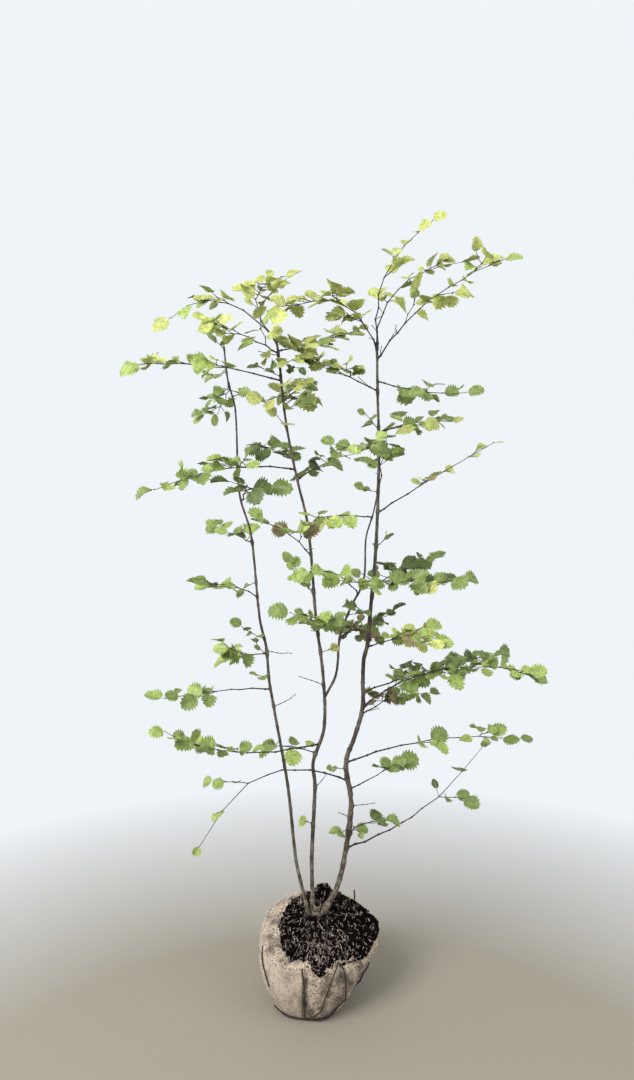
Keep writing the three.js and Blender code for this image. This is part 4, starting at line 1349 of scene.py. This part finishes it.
def turned_in(turn):
    """How far the cloth is turned in over the soil at a turn, from 0 to 1."""
    return np.clip(1.6 * around_bell(turn, FLAP_MIDDLE, 1.2) - 0.3, 0, 1)


def cloth_rim(turn):
    """The edge of the cloth: a peak beside a deep notch, and sunk under the soil that spills on the right."""
    peak = 16 * around_bell(turn, FRONT + 0.33, 0.13) - 10 * around_bell(turn, RIM_NOTCH.turn, 0.1)
    return rim_height(turn) + peak - 13 * around_bell(turn, SPILL_TURN, 0.45)


def cloth_relief(turn, share):
    """How far the cloth stands proud, in millimetres: bulges, the lap, slack folds and the tuck."""
    bulge = 5 * around_bell(turn, 1.28 * math.pi, 0.5) * bell(share, 0.45, 0.4)
    bulge += 5 * around_bell(turn, 1.56 * math.pi, 0.2) * bell(share, 0.3, 0.25)
    lap = 4 * around_bell(turn, LAP_TURN - 0.05, 0.05) - 5 * around_bell(turn, LAP_TURN + 0.05, 0.05)
    slack = 0.25 + around_bell(turn, 1.53 * math.pi, 0.25) + 0.7 * around_bell(turn, 1.85 * math.pi, 0.5)
    slack += 0.5 * around_bell(turn, 0.5 * math.pi, 0.9)
    folds = np.sin(17 * turn + 5 * share) + 0.7 * np.sin(29 * turn - 7 * share + 1)
    folds += 0.5 * np.sin(43 * turn + 3)
    flat = np.stack([turn * 150, share * 150, share * 0], -1).reshape(-1, 3)
    crumple = ripple(flat, 38, 5, 4).reshape(turn.shape)
    past = (turn - SEAM_TURN) % (2 * math.pi)
    tuck = 9 * np.clip(past / 0.05, 0, 1) * np.clip((1.1 - past) / 0.7, 0, 1) * bell(share, 0.5, 0.42)
    tuck += 5 * around_bell(turn, SEAM_TURN + 0.03, 0.035) * np.clip(share * 2.2 - 0.3, 0, 1)
    return (bulge + lap * np.clip(share * 4, 0, 1) + 1.9 * folds * slack * np.clip(share, 0, 1) ** 1.6 - tuck
            + 1.9 * crumple * (0.4 + slack * 0.6))


def cloth_rows(turns):
    """The cloth's rows from the middle of the underside, up the side, over the rim and in over the soil."""
    way_round = (turns - turns[0]) / (turns[-1] - turns[0])
    ragged = ripple(np.stack([turns * 150, turns * 0, turns * 0], -1), 14, 9, 3)
    inside = turned_in(turns)
    rows = []
    foot = ball_point(turns, np.zeros(len(turns)))
    for share in (0.02, 0.35, 0.7, 0.9):
        row = np.array([*BASE_SHIFT, 0.0]) * (1 - share) + foot * share
        row[:, 2] = 1.6 - 1.2 * share
        rows.append(row)
    for share in np.linspace(0, 1, SIDE_ROWS) ** 0.92:
        height = cloth_rim(turns) * share + 3.5 * ragged * share**8 * (1 - 0.8 * inside)
        proud = cloth_relief(turns, np.full(len(turns), share)) * min(1, share * 8 + 0.12) - 1.5
        proud += (3.4 * way_round - 2.6) * min(1, share * 6)
        rows.append(ball_point(turns, np.maximum(height, 0.3), proud))
    edge = rows[-1]
    inward = -unit_rows(edge * (1, 1, 0))
    reach = 8 + 33 * inside + 4 * ragged * (0.3 + inside)
    for step in np.linspace(0.08, 1, 10):
        row = edge + inward * (reach * step)[:, None]
        frill = 3.4 * np.sin(23 * turns + 1 + 2 * step) + 2.6 * np.sin(37 * turns - 3 * step)
        frill = frill * step * inside + 2.2 * ripple(row, 13, 17, 3) * inside * step
        lying = soil_top(row[:, 0], row[:, 1]) + 4.5 + np.abs(frill) + 2 * ragged * step
        lying -= 26 * around_bell(turns, SPILL_TURN, 0.6) + 12 * around_bell(turns, RIM_NOTCH.turn, 0.12)
        settled = np.clip(step / 0.45, 0, 1) ** 1.4
        row[:, 2] = edge[:, 2] * (1 - settled) + lying * settled + 3.5 * math.sin(math.pi * step) * inside
        rows.append(row)
    return np.array(rows)


def jute_finish(name, base, smear, cover, dark_foot_top):
    """Woven jute: painted shade in the weave, grey patches, soil flecks and smears, a dark foot of soil and
    painted shade.
    """
    settings = bpy.context.scene.sapling_ball
    dirt = tuple(settings.dirt)
    material, tree, shader = finish(name, 0.95, 0.15, 0.15)
    weave = place_group(tree, jute_weave(), Thread=settings.thread)
    # Painted shade: the cloth is darker in the low places between its threads
    woven = mixed(tree, weave.outputs["Shade"], shade_of(base, 0.7), base)
    greyed = patch_colour(tree, shader, woven, shade_of(base, 0.72), 0.05, 0.7)
    flecked = patch_colour(tree, shader, greyed, dirt, 0.0045, 0.85, cover=cover)
    smeared = patch_colour(tree, shader, flecked, shade_of(dirt, 1.6), 0.032, smear, cover=0.2 + 0.6 * cover)
    # Partly painted shade: the cloth takes the dark colour of soil along the ground, partly soil worked in
    # and partly the shade where the ball meets the floor
    foot_mask = place_group(tree, ground_stain(), Low=-0.02, High=dark_foot_top)
    dark_foot = mixed(tree, foot_mask.outputs["Mask"], smeared, dirt)
    tree.links.new(dark_foot, shader.inputs["Base Color"])
    bump(tree, shader, weave.outputs["Height"], 0.8, 0.001)
    return material


def make_wrap():
    """The jute cloth: two panels, lapped at the front and turned in over the soil on the left."""
    columns = 320
    turns = np.linspace(LAP_TURN - LAP_WIDTH, LAP_TURN + 2 * math.pi, columns)
    points = cloth_rows(turns)
    joined = Joined()
    low = np.arange(len(points) - 1)[:, None] * columns + np.arange(columns - 1)
    faces = np.stack([low, low + 1, low + columns + 1, low + columns], -1)
    joined.add(points, faces.reshape(-1, 4).tolist())
    muddied = (np.arange(columns - 1) < columns // 2) | (np.arange(len(points) - 1)[:, None] > SIDE_ROWS)
    joined.finishes = muddied.ravel().astype(int).tolist()
    jute = tuple(bpy.context.scene.sapling_ball.jute)
    finishes = [jute_finish("jute_clean", jute, 0.4, 0.18, 0.04),
                jute_finish("jute_muddied", shade_of(jute, 1.12), 0.8, 0.38, 0.05)]
    piece = add_piece("jute_wrap_cloth", joined, finishes, ["jute_wrap"], sharp=70)
    thicken(piece, 1.6)


def thicken(piece, thickness):
    """Gives an open sheet its thickness, inwards."""
    solidify = piece.modifiers.new("thickness", "SOLIDIFY")
    solidify.thickness = thickness * MM
    solidify.offset = -1
    graph = bpy.context.evaluated_depsgraph_get()
    mesh = bpy.data.meshes.new_from_object(piece.evaluated_get(graph))
    piece.modifiers.clear()
    piece.data = mesh


def run_on_wrap(run, proud):
    """Points of a line drawn down the wrap through the keys of a run."""
    keys = np.array(run)
    at = np.linspace(0, len(keys) - 1, TWINE.corners)
    turns = FRONT + np.interp(at, range(len(keys)), keys[:, 0])
    shares = np.interp(at, range(len(keys)), keys[:, 1])
    turns[2:-2] = np.convolve(turns, np.ones(5) / 5, "valid")
    return ball_point(turns, cloth_rim(turns) * shares, cloth_relief(turns, shares) + proud)


def make_threads():
    """Frayed threads along the cloth's edge."""
    rng = np.random.default_rng(33)
    joined = Joined()
    for turn in rng.uniform(0, 2 * math.pi, FRAYED_THREADS):
        turns = np.array([turn])
        edge = ball_point(turns, cloth_rim(turns) - 1, cloth_relief(turns, np.ones(1)))[0]
        outward = unit(edge * (1, 1, 0))
        way = outward * rng.uniform(-0.8, 0.9) + np.cross((0, 0, 1), outward) * rng.normal() * 0.7
        way = unit(way + (0, 0, rng.uniform(-0.7, 0.9)))
        length = rng.uniform(3, 15)
        curl = rng.normal(size=3) * 0.16 * length
        points = [edge, edge + way * length * 0.5 + curl, edge + way * length]
        joined.add_tube(points, [0.42, 0.36, 0.24], 4)
    jute = tuple(bpy.context.scene.sapling_ball.jute)
    material = patchy_finish("jute_thread", shade_of(jute, 1.1), shade_of(jute, 0.5), 0.008, 0.6, 0.9, 0.2)
    add_piece("jute_threads", joined, [material])


def soil_top(x, y):
    """The height of the soil's surface, with its clods, its craggy lump and a hollow, in millimetres."""
    reach = np.minimum(1, np.hypot(x, y) / WIDEST_RADIUS)
    lump = np.hypot(x - 14, y - 84) / 27
    hollow = np.hypot(x + 85, y - 25) / 22
    smooth = RIM_MIDDLE - 6 + RIM_TILT * (y / WIDEST_RADIUS) + 34 * (1 - reach**2)
    smooth += 32 * np.exp(-(lump**4)) - 14 * np.exp(-(hollow**2))
    flat = np.stack([x, y, np.zeros_like(x)], -1).reshape(-1, 3)
    clods = 4.5 * ripple(flat, 52, 21, 2) + 3.6 * ripple(flat, 20, 22, 3)
    clods -= 2.4 * np.abs(ripple(flat, 8, 23, 2))
    return smooth + clods.reshape(np.shape(x)) - 1


def soil_height(x, y):
    """The height of the soil's surface at one place."""
    return float(soil_top(np.array([x]), np.array([y]))[0])


def mound_point(turn, share):
    """Points on the soil at shares of the way out to its edge, which spills over the rim in two places."""
    edge = ball_point(turn, rim_height(turn), -CLOTH - 7)
    spill = 22 * around_bell(turn, SPILL_TURN, 0.5) + 8 * around_bell(turn, RIM_NOTCH.turn, 0.12)
    spill += 2 * ripple(edge, 40, 31, 2) + 2.5 * ripple(edge, 11, 32, 2) * around_bell(turn, SPILL_TURN, 0.7)
    point = edge * np.reshape(share, (-1, 1)) + unit_rows(edge * (1, 1, 0)) * (spill * share**6)[:, None]
    settle = np.clip((1 - share) / 0.12, 0, 1)
    under = turned_in(turn) * (12 * (1 - settle) + 5 * np.clip((share - 0.68) / 0.08, 0, 1))
    point[:, 2] = soil_top(point[:, 0], point[:, 1]) * settle + (edge[:, 2] + 4) * (1 - settle) - under
    return point


def make_soil():
    """The filling: a rough mound that spills a little over the rim at the front and on the right."""
    columns = 230
    turns = turns_round(columns)
    rows = []
    for share in (0.03, 0.3, 0.7, 0.93):
        height = np.maximum(CLOTH + 3, rim_height(turns) * share)
        rows.append(ball_point(turns, height, -CLOTH - 14))
    lip = mound_point(turns, np.ones(columns))
    rows.append(lip * (0.98, 0.98, 1) - (0, 0, 9))
    rows += [mound_point(turns, np.full(columns, share)) for share in np.linspace(1, 0.02, 74)]
    joined = Joined()
    joined.add_rings(np.array(rows))
    add_piece("soil_mound", joined, [soil_finish()], ["soil_ball"], sharp=80)


def soil_finish():
    made = bpy.data.materials.get("damp_soil")
    if made:
        return made
    soil = tuple(bpy.context.scene.sapling_ball.soil)
    return patchy_finish("damp_soil", soil, shade_of(soil, 2.4), 0.006, 0.7, 1.0, 0.0, (0.004, 1.0, 0.003))


def scattered(count, rng, squeeze, front):
    """Points over the mound, in millimetres. A share of them gathers at the front."""
    turn = rng.uniform(0, 2 * math.pi, count)
    share = np.sqrt(rng.uniform(0, 1, count)) * squeeze
    gathered = rng.uniform(0, 1, count) < front
    turn = np.where(gathered, rng.normal(FRONT + 0.05, 0.42, count), turn)
    share = np.where(gathered, np.clip(rng.normal(0.68, 0.2, count), 0.1, squeeze), share)
    share = np.minimum(share, 1 - 0.3 * turned_in(turn))
    return mound_point(turn, share)


def round_collar(rng, count):
    """Points on the soil and the wood round the edge of the collar, in millimetres."""
    way = rng.uniform(0, 2 * math.pi, count)
    reach = rng.uniform(0.84, 1.16, count)
    x = COLLAR.x + COLLAR.width * reach * np.cos(way)
    y = COLLAR.y + COLLAR.depth * reach * np.sin(way)
    wood = COLLAR.z + COLLAR.height * np.sqrt(np.maximum(0, 1 - reach**2))
    return np.stack([x, y, np.maximum(soil_top(x, y), wood)], -1)


CUBE_CORNERS = [(x, y, z) for x in (-1, 0, 1) for y in (-1, 0, 1) for z in (-1, 0, 1) if x or y or z]


def lump_faces():
    """The faces of a ball of 26 corners, as a cube cut in four on each side."""
    faces = []
    for axis in range(3):
        for end in (-1, 1):
            for a in (-1, 0):
                for b in (-1, 0):
                    square = [(a, b), (a + 1, b), (a + 1, b + 1), (a, b + 1)]
                    corners = []
                    for u, v in square[::end]:
                        corner = [0, 0, 0]
                        corner[axis], corner[(axis + 1) % 3], corner[(axis + 2) % 3] = end, u, v
                        corners.append(CUBE_CORNERS.index(tuple(corner)))
                    faces.append(corners)
    return faces


def make_crumbs():
    rng = np.random.default_rng(41)
    faces = lump_faces()
    ball = unit_rows(np.array(CUBE_CORNERS, float))
    joined = Joined()
    spread = scattered(bpy.context.scene.sapling_ball.crumbs, rng, 1.0, 0.1)
    for place in np.concatenate([spread, round_collar(rng, COLLAR_CRUMBS)]):
        size = rng.uniform(1.2, 3.3) * (1.9 if rng.uniform() < 0.09 else 1)
        lump = ball * rng.uniform(0.6, 1.3, (len(ball), 1)) * rng.uniform(0.7, 1.2, 3) * size
        joined.add(lump + place + (0, 0, size * 0.25), faces)
    add_piece("soil_crumbs", joined, [soil_finish()], sharp=30)


def lying_root(x, y, way, length, thick, bend, rng, lift=0.6, z=None):
    """A thin root that follows the mound, as points and radii. It may start at a height of its own."""
    arch = 3.2 * lift
    if z is not None:
        lift += z - soil_height(x, y)
    steps = max(2, rounded(length / 5))
    points, radii = [], []
    for i in range(steps + 1):
        share = i / steps
        points.append((x, y, soil_height(x, y) + lift + arch * math.sin(math.pi * share)))
        radii.append(thick * (1 - 0.5 * share))
        way += bend * length / steps + rng.normal() * 0.16
        x += math.cos(way) * length / steps
        y += math.sin(way) * length / steps
    return points, radii


def make_fibres():
    """Short fibres and chips over the soil, thickest at the front, and a few long roots from the collar."""
    settings = bpy.context.scene.sapling_ball
    rng = np.random.default_rng(52)
    pale, brown, chips = Joined(), Joined(), Joined()
    for x, y, z in scattered(settings.fibres, rng, 0.96, 0.5):
        way, length, thick = rng.uniform(0, 2 * math.pi), rng.uniform(4, 13), rng.uniform(0.25, 0.6)
        bend, lift = rng.normal() * 0.03, rng.uniform(0.4, 1.8)
        points, radii = lying_root(x, y, way, length, thick, bend, rng, lift, z)
        (pale if rng.uniform() < 0.62 else brown).add_tube(points, radii, 4)
    for x, y, z in scattered(settings.chips, rng, 0.985, 0.33):
        flat = np.array([1, 0.45, 1, 0.45]) * rng.uniform(0.6, 1.4)
        way, length, lift = rng.uniform(0, 2 * math.pi), rng.uniform(3.5, 11), rng.uniform(0.5, 1.6)
        points, _ = lying_root(x, y, way, length, 1, 0, rng, lift, z)
        (chips if rng.uniform() < 0.6 else pale).add_tube(points, [flat * 0.7, flat, flat * 0.5], 4)
    for way in (1.08 * math.pi, 1.37 * math.pi, 1.52 * math.pi, 1.79 * math.pi, 0.1 * math.pi):
        x, y = COLLAR.x + 0.8 * COLLAR.width * math.cos(way), COLLAR.y + 0.8 * COLLAR.depth * math.sin(way)
        points, radii = lying_root(x, y, way, rng.uniform(40, 95), rng.uniform(0.6, 1.1), 0, rng)
        pale.add_tube(points, radii, 6)
    fibre, chip = tuple(settings.fibre), tuple(settings.chip)
    for name, joined, base in (("root_fibres_pale", pale, fibre),
                               ("root_fibres_brown", brown, shade_of(fibre, 0.3)),
                               ("soil_chips", chips, chip)):
        material = patchy_finish(name, base, shade_of(base, 0.4), 0.008, 0.8, 0.85, 0.25)
        add_piece(name, joined, [material])


def cut_stub(joined):
    """The stub of a cut stem, which leans to the front: a pale rim round a rotten hollow."""
    foot, lean, sides = np.array(STUB.foot), unit(np.array(STUB.lean)), 16
    across = side_of(lean)
    turn = turns_round(sides)[:, None]
    circle = np.cos(turn) * across + np.sin(turn) * np.cross(lean, across)
    profile = STUB.outside + STUB.hollow
    rings = np.array([foot + lean * rise + circle * radius for rise, radius in profile])
    rings += 0.6 * ripple(rings.reshape(-1, 3), 9, 80).reshape(rings.shape[:2])[..., None] * circle
    faces = ring_faces(len(rings), sides)
    joined.add(rings, faces)
    rim = (len(STUB.outside) - 1) * sides
    joined.finishes[-len(faces):] = [1] * rim + [2] * (len(faces) - rim)


def collar_finishes():
    """Bark that is darkened with soil at its foot, the pale wood of a cut, and rotten wood."""
    settings = bpy.context.scene.sapling_bark
    dark, pale = tuple(settings.dark), tuple(settings.pale)
    material = wood_finish("collar_wood", shade_of(dark, 0.9), shade_of(pale, 0.8), 0.009, 0.9, 1.0)
    tree = material.node_tree
    wood = tree.nodes["Principled BSDF"].inputs["Base Color"]
    dark_foot = place_group(tree, ground_stain(), Low=0.208, High=0.236)
    soil = tuple(bpy.context.scene.sapling_ball.soil)
    tree.links.new(mixed(tree, dark_foot.outputs["Mask"], wood.links[0].from_socket, soil), wood)
    return [material, wood_finish("cut_wood", shade_of(pale, 1.5), shade_of(dark, 1.6), 0.005, 0.6),
            wood_finish("rotten_wood", shade_of(dark, 0.3), shade_of(dark, 0.8), 0.004, 0.5)]


def make_collar():
    """The knobbly wood that the stems rise from, with the stub of a cut stem and three thick roots."""
    rings, sides = 44, 60
    polar = np.linspace(0.04, math.pi - 0.04, rings)[::-1, None]
    turn = turns_round(sides)[None, :]
    level = np.cos(polar) * np.ones_like(turn)
    ball = np.stack([np.sin(polar) * np.cos(turn), np.sin(polar) * np.sin(turn), level], -1).reshape(-1, 3)
    knob = 1 + 0.09 * np.sin(5 * ball[:, 0] + 2 * ball[:, 1]) * np.cos(4 * ball[:, 2])
    knob += 0.1 * ripple(ball, 1.1, 61, 3) + 0.05 * ripple(ball, 0.3, 62, 2)
    size = np.array([COLLAR.width, COLLAR.depth, COLLAR.height])
    joined = Joined()
    joined.add(ball * size * knob[:, None] + (COLLAR.x, COLLAR.y, COLLAR.z), ring_faces(rings, sides))
    for limb in STEMS[:3]:
        foot = stem_point(limb, STEM_FOOT + 14)
        spread = stem_radius(limb, STEM_FOOT) * 1.1
        for i in range(5):
            way = 2 * math.pi * i / 5 + foot[0]
            out = np.array([math.cos(way), math.sin(way), 0])
            top = foot + out * 3 + (0, 0, 6 + 5 * (i % 3))
            middle = foot + out * spread * 0.75 - (0, 0, 4)
            root = foot + out * spread * 1.25 - (0, 0, 14)
            joined.add_rings(bark_rings([root, middle, top], [4.6, 3.4, 1.2], 9, 70 + i))
    cut_stub(joined)
    rng = np.random.default_rng(71)
    for x, y, way, length in THICK_ROOTS:
        points, radii = lying_root(x, y, way, length, THICK_ROOT, 0, rng, 0.2)
        joined.add_rings(bark_rings(points, radii, 10, length))
    add_piece("root_collar_wood", joined, collar_finishes(), ["root_collar"], sharp=75)


def make_twine():
    """Dark twine drawn round and down the wrap, lying in the cloth's creases."""
    joined = Joined()
    radii = TWINE.radius * (1 + 0.16 * np.sin(np.arange(TWINE.corners) * 2.2))
    for run in TWINE_RUNS:
        joined.add_tube(run_on_wrap(run, TWINE.proud), radii, 7)
    twine = tuple(bpy.context.scene.sapling_ball.twine)
    material = patchy_finish("twine", twine, shade_of(twine, 3), 0.006, 0.6, 0.9, 0.2, (0.001, 0.8, 0.0006))
    add_piece("twine", joined, [material])


def make_sticks():
    """Bits of dead stick that stand in the soil."""
    joined = Joined()
    for i, (x, y, length, lean) in enumerate(STICKS):
        foot = np.array([x, y, soil_height(x, y) - 6])
        way = unit(np.array([lean, -0.1 * i, 1]))
        points = [foot + way * length * share + (math.sin(5 * share) * 0.8, 0, 0)
                  for share in (0, 0.3, 0.6, 0.85, 1)]
        joined.add_rings(bark_rings(points, [2.6, 2.3, 2.1, 1.9, 1.3], 9, 90 + i))
    add_piece("dead_sticks", joined, [twig_bark()])


# Stage

PLANT_MIDDLE = np.array([0, 0, 0.9])
CAMERA_PITCH = math.radians(5)
CAMERA_ROLL = math.radians(1.05)


def aimed(direction, roll=0.0):
    """The rotation of a camera or light that looks along a direction, rolled so that its up leans right."""
    look = Vector(direction).normalized()
    return Quaternion(look, roll) @ look.to_track_quat("-Z", "Y")


def make_floor():
    """A round pale floor, lightly speckled, whose rim fades out into the backdrop."""
    radius, sides = 2.2, 96
    turns = turns_round(sides)
    corners = np.stack([radius * np.cos(turns), radius * np.sin(turns), turns * 0], -1)
    mesh = bpy.data.meshes.new("floor")
    mesh.from_pydata(corners.tolist(), [], [list(range(sides))])
    plate = bpy.data.objects.new("floor", mesh)
    plate.location = (0, -0.7, 0)
    bpy.context.scene.collection.objects.link(plate)
    floor = tuple(bpy.context.scene.sapling_stage.floor)
    material = patchy_finish("studio_floor", floor, shade_of(floor, 0.88), 0.004, 0.8, 0.9, 0.2,
                             (0.003, 0.3, 0.0006), 0.4)
    tree = material.node_tree
    fade = place_group(tree, faded_edge(), Near=0.95, Far=2.1)
    tree.links.new(fade.outputs["Mask"], tree.nodes["Principled BSDF"].inputs["Alpha"])
    mesh.materials.append(material)


def make_light(name, place, size, power):
    light = bpy.data.objects.new(name, bpy.data.lights.new(name, "AREA"))
    light.data.size = size
    light.data.energy = power
    light.location = place
    light.rotation_mode = "QUATERNION"
    light.rotation_quaternion = aimed(PLANT_MIDDLE - place)
    bpy.context.scene.collection.objects.link(light)


def make_world():
    """Soft light from all round, with a plain backdrop where the camera looks past the plant."""
    settings = bpy.context.scene.sapling_stage
    world = bpy.data.worlds.new("studio")
    bpy.context.scene.world = world
    world.use_nodes = True
    nodes, links = world.node_tree.nodes, world.node_tree.links
    soft = nodes["Background"]
    soft.inputs["Color"].default_value = (*settings.sky, 1)
    soft.inputs["Strength"].default_value = settings.sky_strength
    plain = nodes.new("ShaderNodeBackground")
    plain.inputs["Color"].default_value = (*settings.backdrop, 1)
    seen = nodes.new("ShaderNodeMixShader")
    links.new(nodes.new("ShaderNodeLightPath").outputs["Is Camera Ray"], seen.inputs["Fac"])
    links.new(soft.outputs[0], seen.inputs[1])
    links.new(plain.outputs[0], seen.inputs[2])
    links.new(seen.outputs[0], nodes["World Output"].inputs["Surface"])


def make_camera():
    settings = bpy.context.scene.sapling_stage
    camera = bpy.data.objects.new("camera", bpy.data.cameras.new("camera"))
    camera.data.lens = settings.lens
    camera.data.sensor_width = 36
    camera.location = (0.016, -settings.distance, settings.height)
    camera.rotation_mode = "QUATERNION"
    look = (0, math.cos(CAMERA_PITCH), -math.sin(CAMERA_PITCH))
    camera.rotation_quaternion = aimed(look, CAMERA_ROLL)
    bpy.context.scene.collection.objects.link(camera)
    bpy.context.scene.camera = camera
    bpy.context.scene.view_settings.view_transform = "Standard"


# Operators, one for each piece or group of like pieces

class SAPLING_OT_stage(bpy.types.Operator):
    """Set the floor, the lights and the camera"""

    bl_idname = "sapling.stage"
    bl_label = "Stage"

    def execute(self, context):
        make_floor()
        make_world()
        make_light("key", (-2.4, -2.6, 3.6), 2.2, context.scene.sapling_stage.key)
        make_light("fill", (3.0, -1.6, 2.4), 2.5, 40)
        make_camera()
        return {"FINISHED"}


class SAPLING_OT_stems(bpy.types.Operator):
    """Put bark on the four stems"""

    bl_idname = "sapling.stems"
    bl_label = "Stems"

    def execute(self, context):
        make_stems()
        return {"FINISHED"}


class SAPLING_OT_boughs(bpy.types.Operator):
    """Put bark on the main boughs"""

    bl_idname = "sapling.boughs"
    bl_label = "Boughs"

    def execute(self, context):
        make_boughs()
        return {"FINISHED"}


class SAPLING_OT_collar(bpy.types.Operator):
    """Make the knobbly wood at the foot"""

    bl_idname = "sapling.collar"
    bl_label = "Root collar"

    def execute(self, context):
        make_collar()
        return {"FINISHED"}


class SAPLING_OT_twigs(bpy.types.Operator):
    """Grow the zigzag twigs of every spray"""

    bl_idname = "sapling.twigs"
    bl_label = "Twigs"

    def execute(self, context):
        make_twigs()
        return {"FINISHED"}


class SAPLING_OT_leaves(bpy.types.Operator):
    """Grow the toothed leaves in their tints"""

    bl_idname = "sapling.leaves"
    bl_label = "Leaves"

    def execute(self, context):
        make_leaves()
        return {"FINISHED"}


class SAPLING_OT_leaf_stalks(bpy.types.Operator):
    """Join each leaf to its twig"""

    bl_idname = "sapling.leaf_stalks"
    bl_label = "Leaf stalks"

    def execute(self, context):
        make_leaf_stalks()
        return {"FINISHED"}


class SAPLING_OT_buds(bpy.types.Operator):
    """Set a bud in the crook of each leaf"""

    bl_idname = "sapling.buds"
    bl_label = "Buds"

    def execute(self, context):
        make_buds()
        return {"FINISHED"}


class SAPLING_OT_wrap(bpy.types.Operator):
    """Wrap the root ball in jute"""

    bl_idname = "sapling.wrap"
    bl_label = "Jute wrap"

    def execute(self, context):
        make_wrap()
        return {"FINISHED"}


class SAPLING_OT_threads(bpy.types.Operator):
    """Fray the edge of the wrap"""

    bl_idname = "sapling.threads"
    bl_label = "Jute threads"

    def execute(self, context):
        make_threads()
        return {"FINISHED"}


class SAPLING_OT_twine(bpy.types.Operator):
    """Draw twine down the wrap"""

    bl_idname = "sapling.twine"
    bl_label = "Twine"

    def execute(self, context):
        make_twine()
        return {"FINISHED"}


class SAPLING_OT_soil(bpy.types.Operator):
    """Fill the wrap with a rough mound of soil"""

    bl_idname = "sapling.soil"
    bl_label = "Soil"

    def execute(self, context):
        make_soil()
        return {"FINISHED"}


class SAPLING_OT_crumbs(bpy.types.Operator):
    """Scatter crumbs over the mound"""

    bl_idname = "sapling.crumbs"
    bl_label = "Soil crumbs"

    def execute(self, context):
        make_crumbs()
        return {"FINISHED"}


class SAPLING_OT_fibres(bpy.types.Operator):
    """Lay fine roots and chips over the mound"""

    bl_idname = "sapling.fibres"
    bl_label = "Root fibres"

    def execute(self, context):
        make_fibres()
        return {"FINISHED"}


class SAPLING_OT_sticks(bpy.types.Operator):
    """Stand bits of stick in the soil"""

    bl_idname = "sapling.sticks"
    bl_label = "Sticks"

    def execute(self, context):
        make_sticks()
        return {"FINISHED"}


OPERATORS = (SAPLING_OT_stage, SAPLING_OT_stems, SAPLING_OT_boughs, SAPLING_OT_collar, SAPLING_OT_twigs,
             SAPLING_OT_leaves, SAPLING_OT_leaf_stalks, SAPLING_OT_buds, SAPLING_OT_wrap,
             SAPLING_OT_threads, SAPLING_OT_twine, SAPLING_OT_soil, SAPLING_OT_crumbs, SAPLING_OT_fibres,
             SAPLING_OT_sticks)
SETTINGS = {
    "sapling_leaves": SaplingLeafSettings,
    "sapling_bark": SaplingBarkSettings,
    "sapling_ball": SaplingBallSettings,
    "sapling_stage": SaplingStageSettings,
}


class SAPLING_PT_panel(bpy.types.Panel):
    """The sapling's settings and operators, in the 3D view's sidebar"""

    bl_idname = "SAPLING_PT_panel"
    bl_label = "Sapling"
    bl_space_type = "VIEW_3D"
    bl_region_type = "UI"
    bl_category = "Sapling"

    def draw(self, context):
        for name, settings in SETTINGS.items():
            box = self.layout.box()
            for label in settings.__annotations__:
                box.prop(getattr(context.scene, name), label)
        for kind in OPERATORS:
            self.layout.operator(kind.bl_idname)


def register():
    for kind in (*SETTINGS.values(), *OPERATORS, SAPLING_PT_panel):
        bpy.utils.register_class(kind)
    for name, settings in SETTINGS.items():
        setattr(bpy.types.Scene, name, PointerProperty(type=settings))


def unregister():
    for name in SETTINGS:
        delattr(bpy.types.Scene, name)
    for kind in (SAPLING_PT_panel, *reversed(OPERATORS), *SETTINGS.values()):
        bpy.utils.unregister_class(kind)


def main():
    register()
    for kind in OPERATORS:
        group, name = kind.bl_idname.split(".")
        getattr(getattr(bpy.ops, group), name)()


if __name__ == "__main__":
    main()
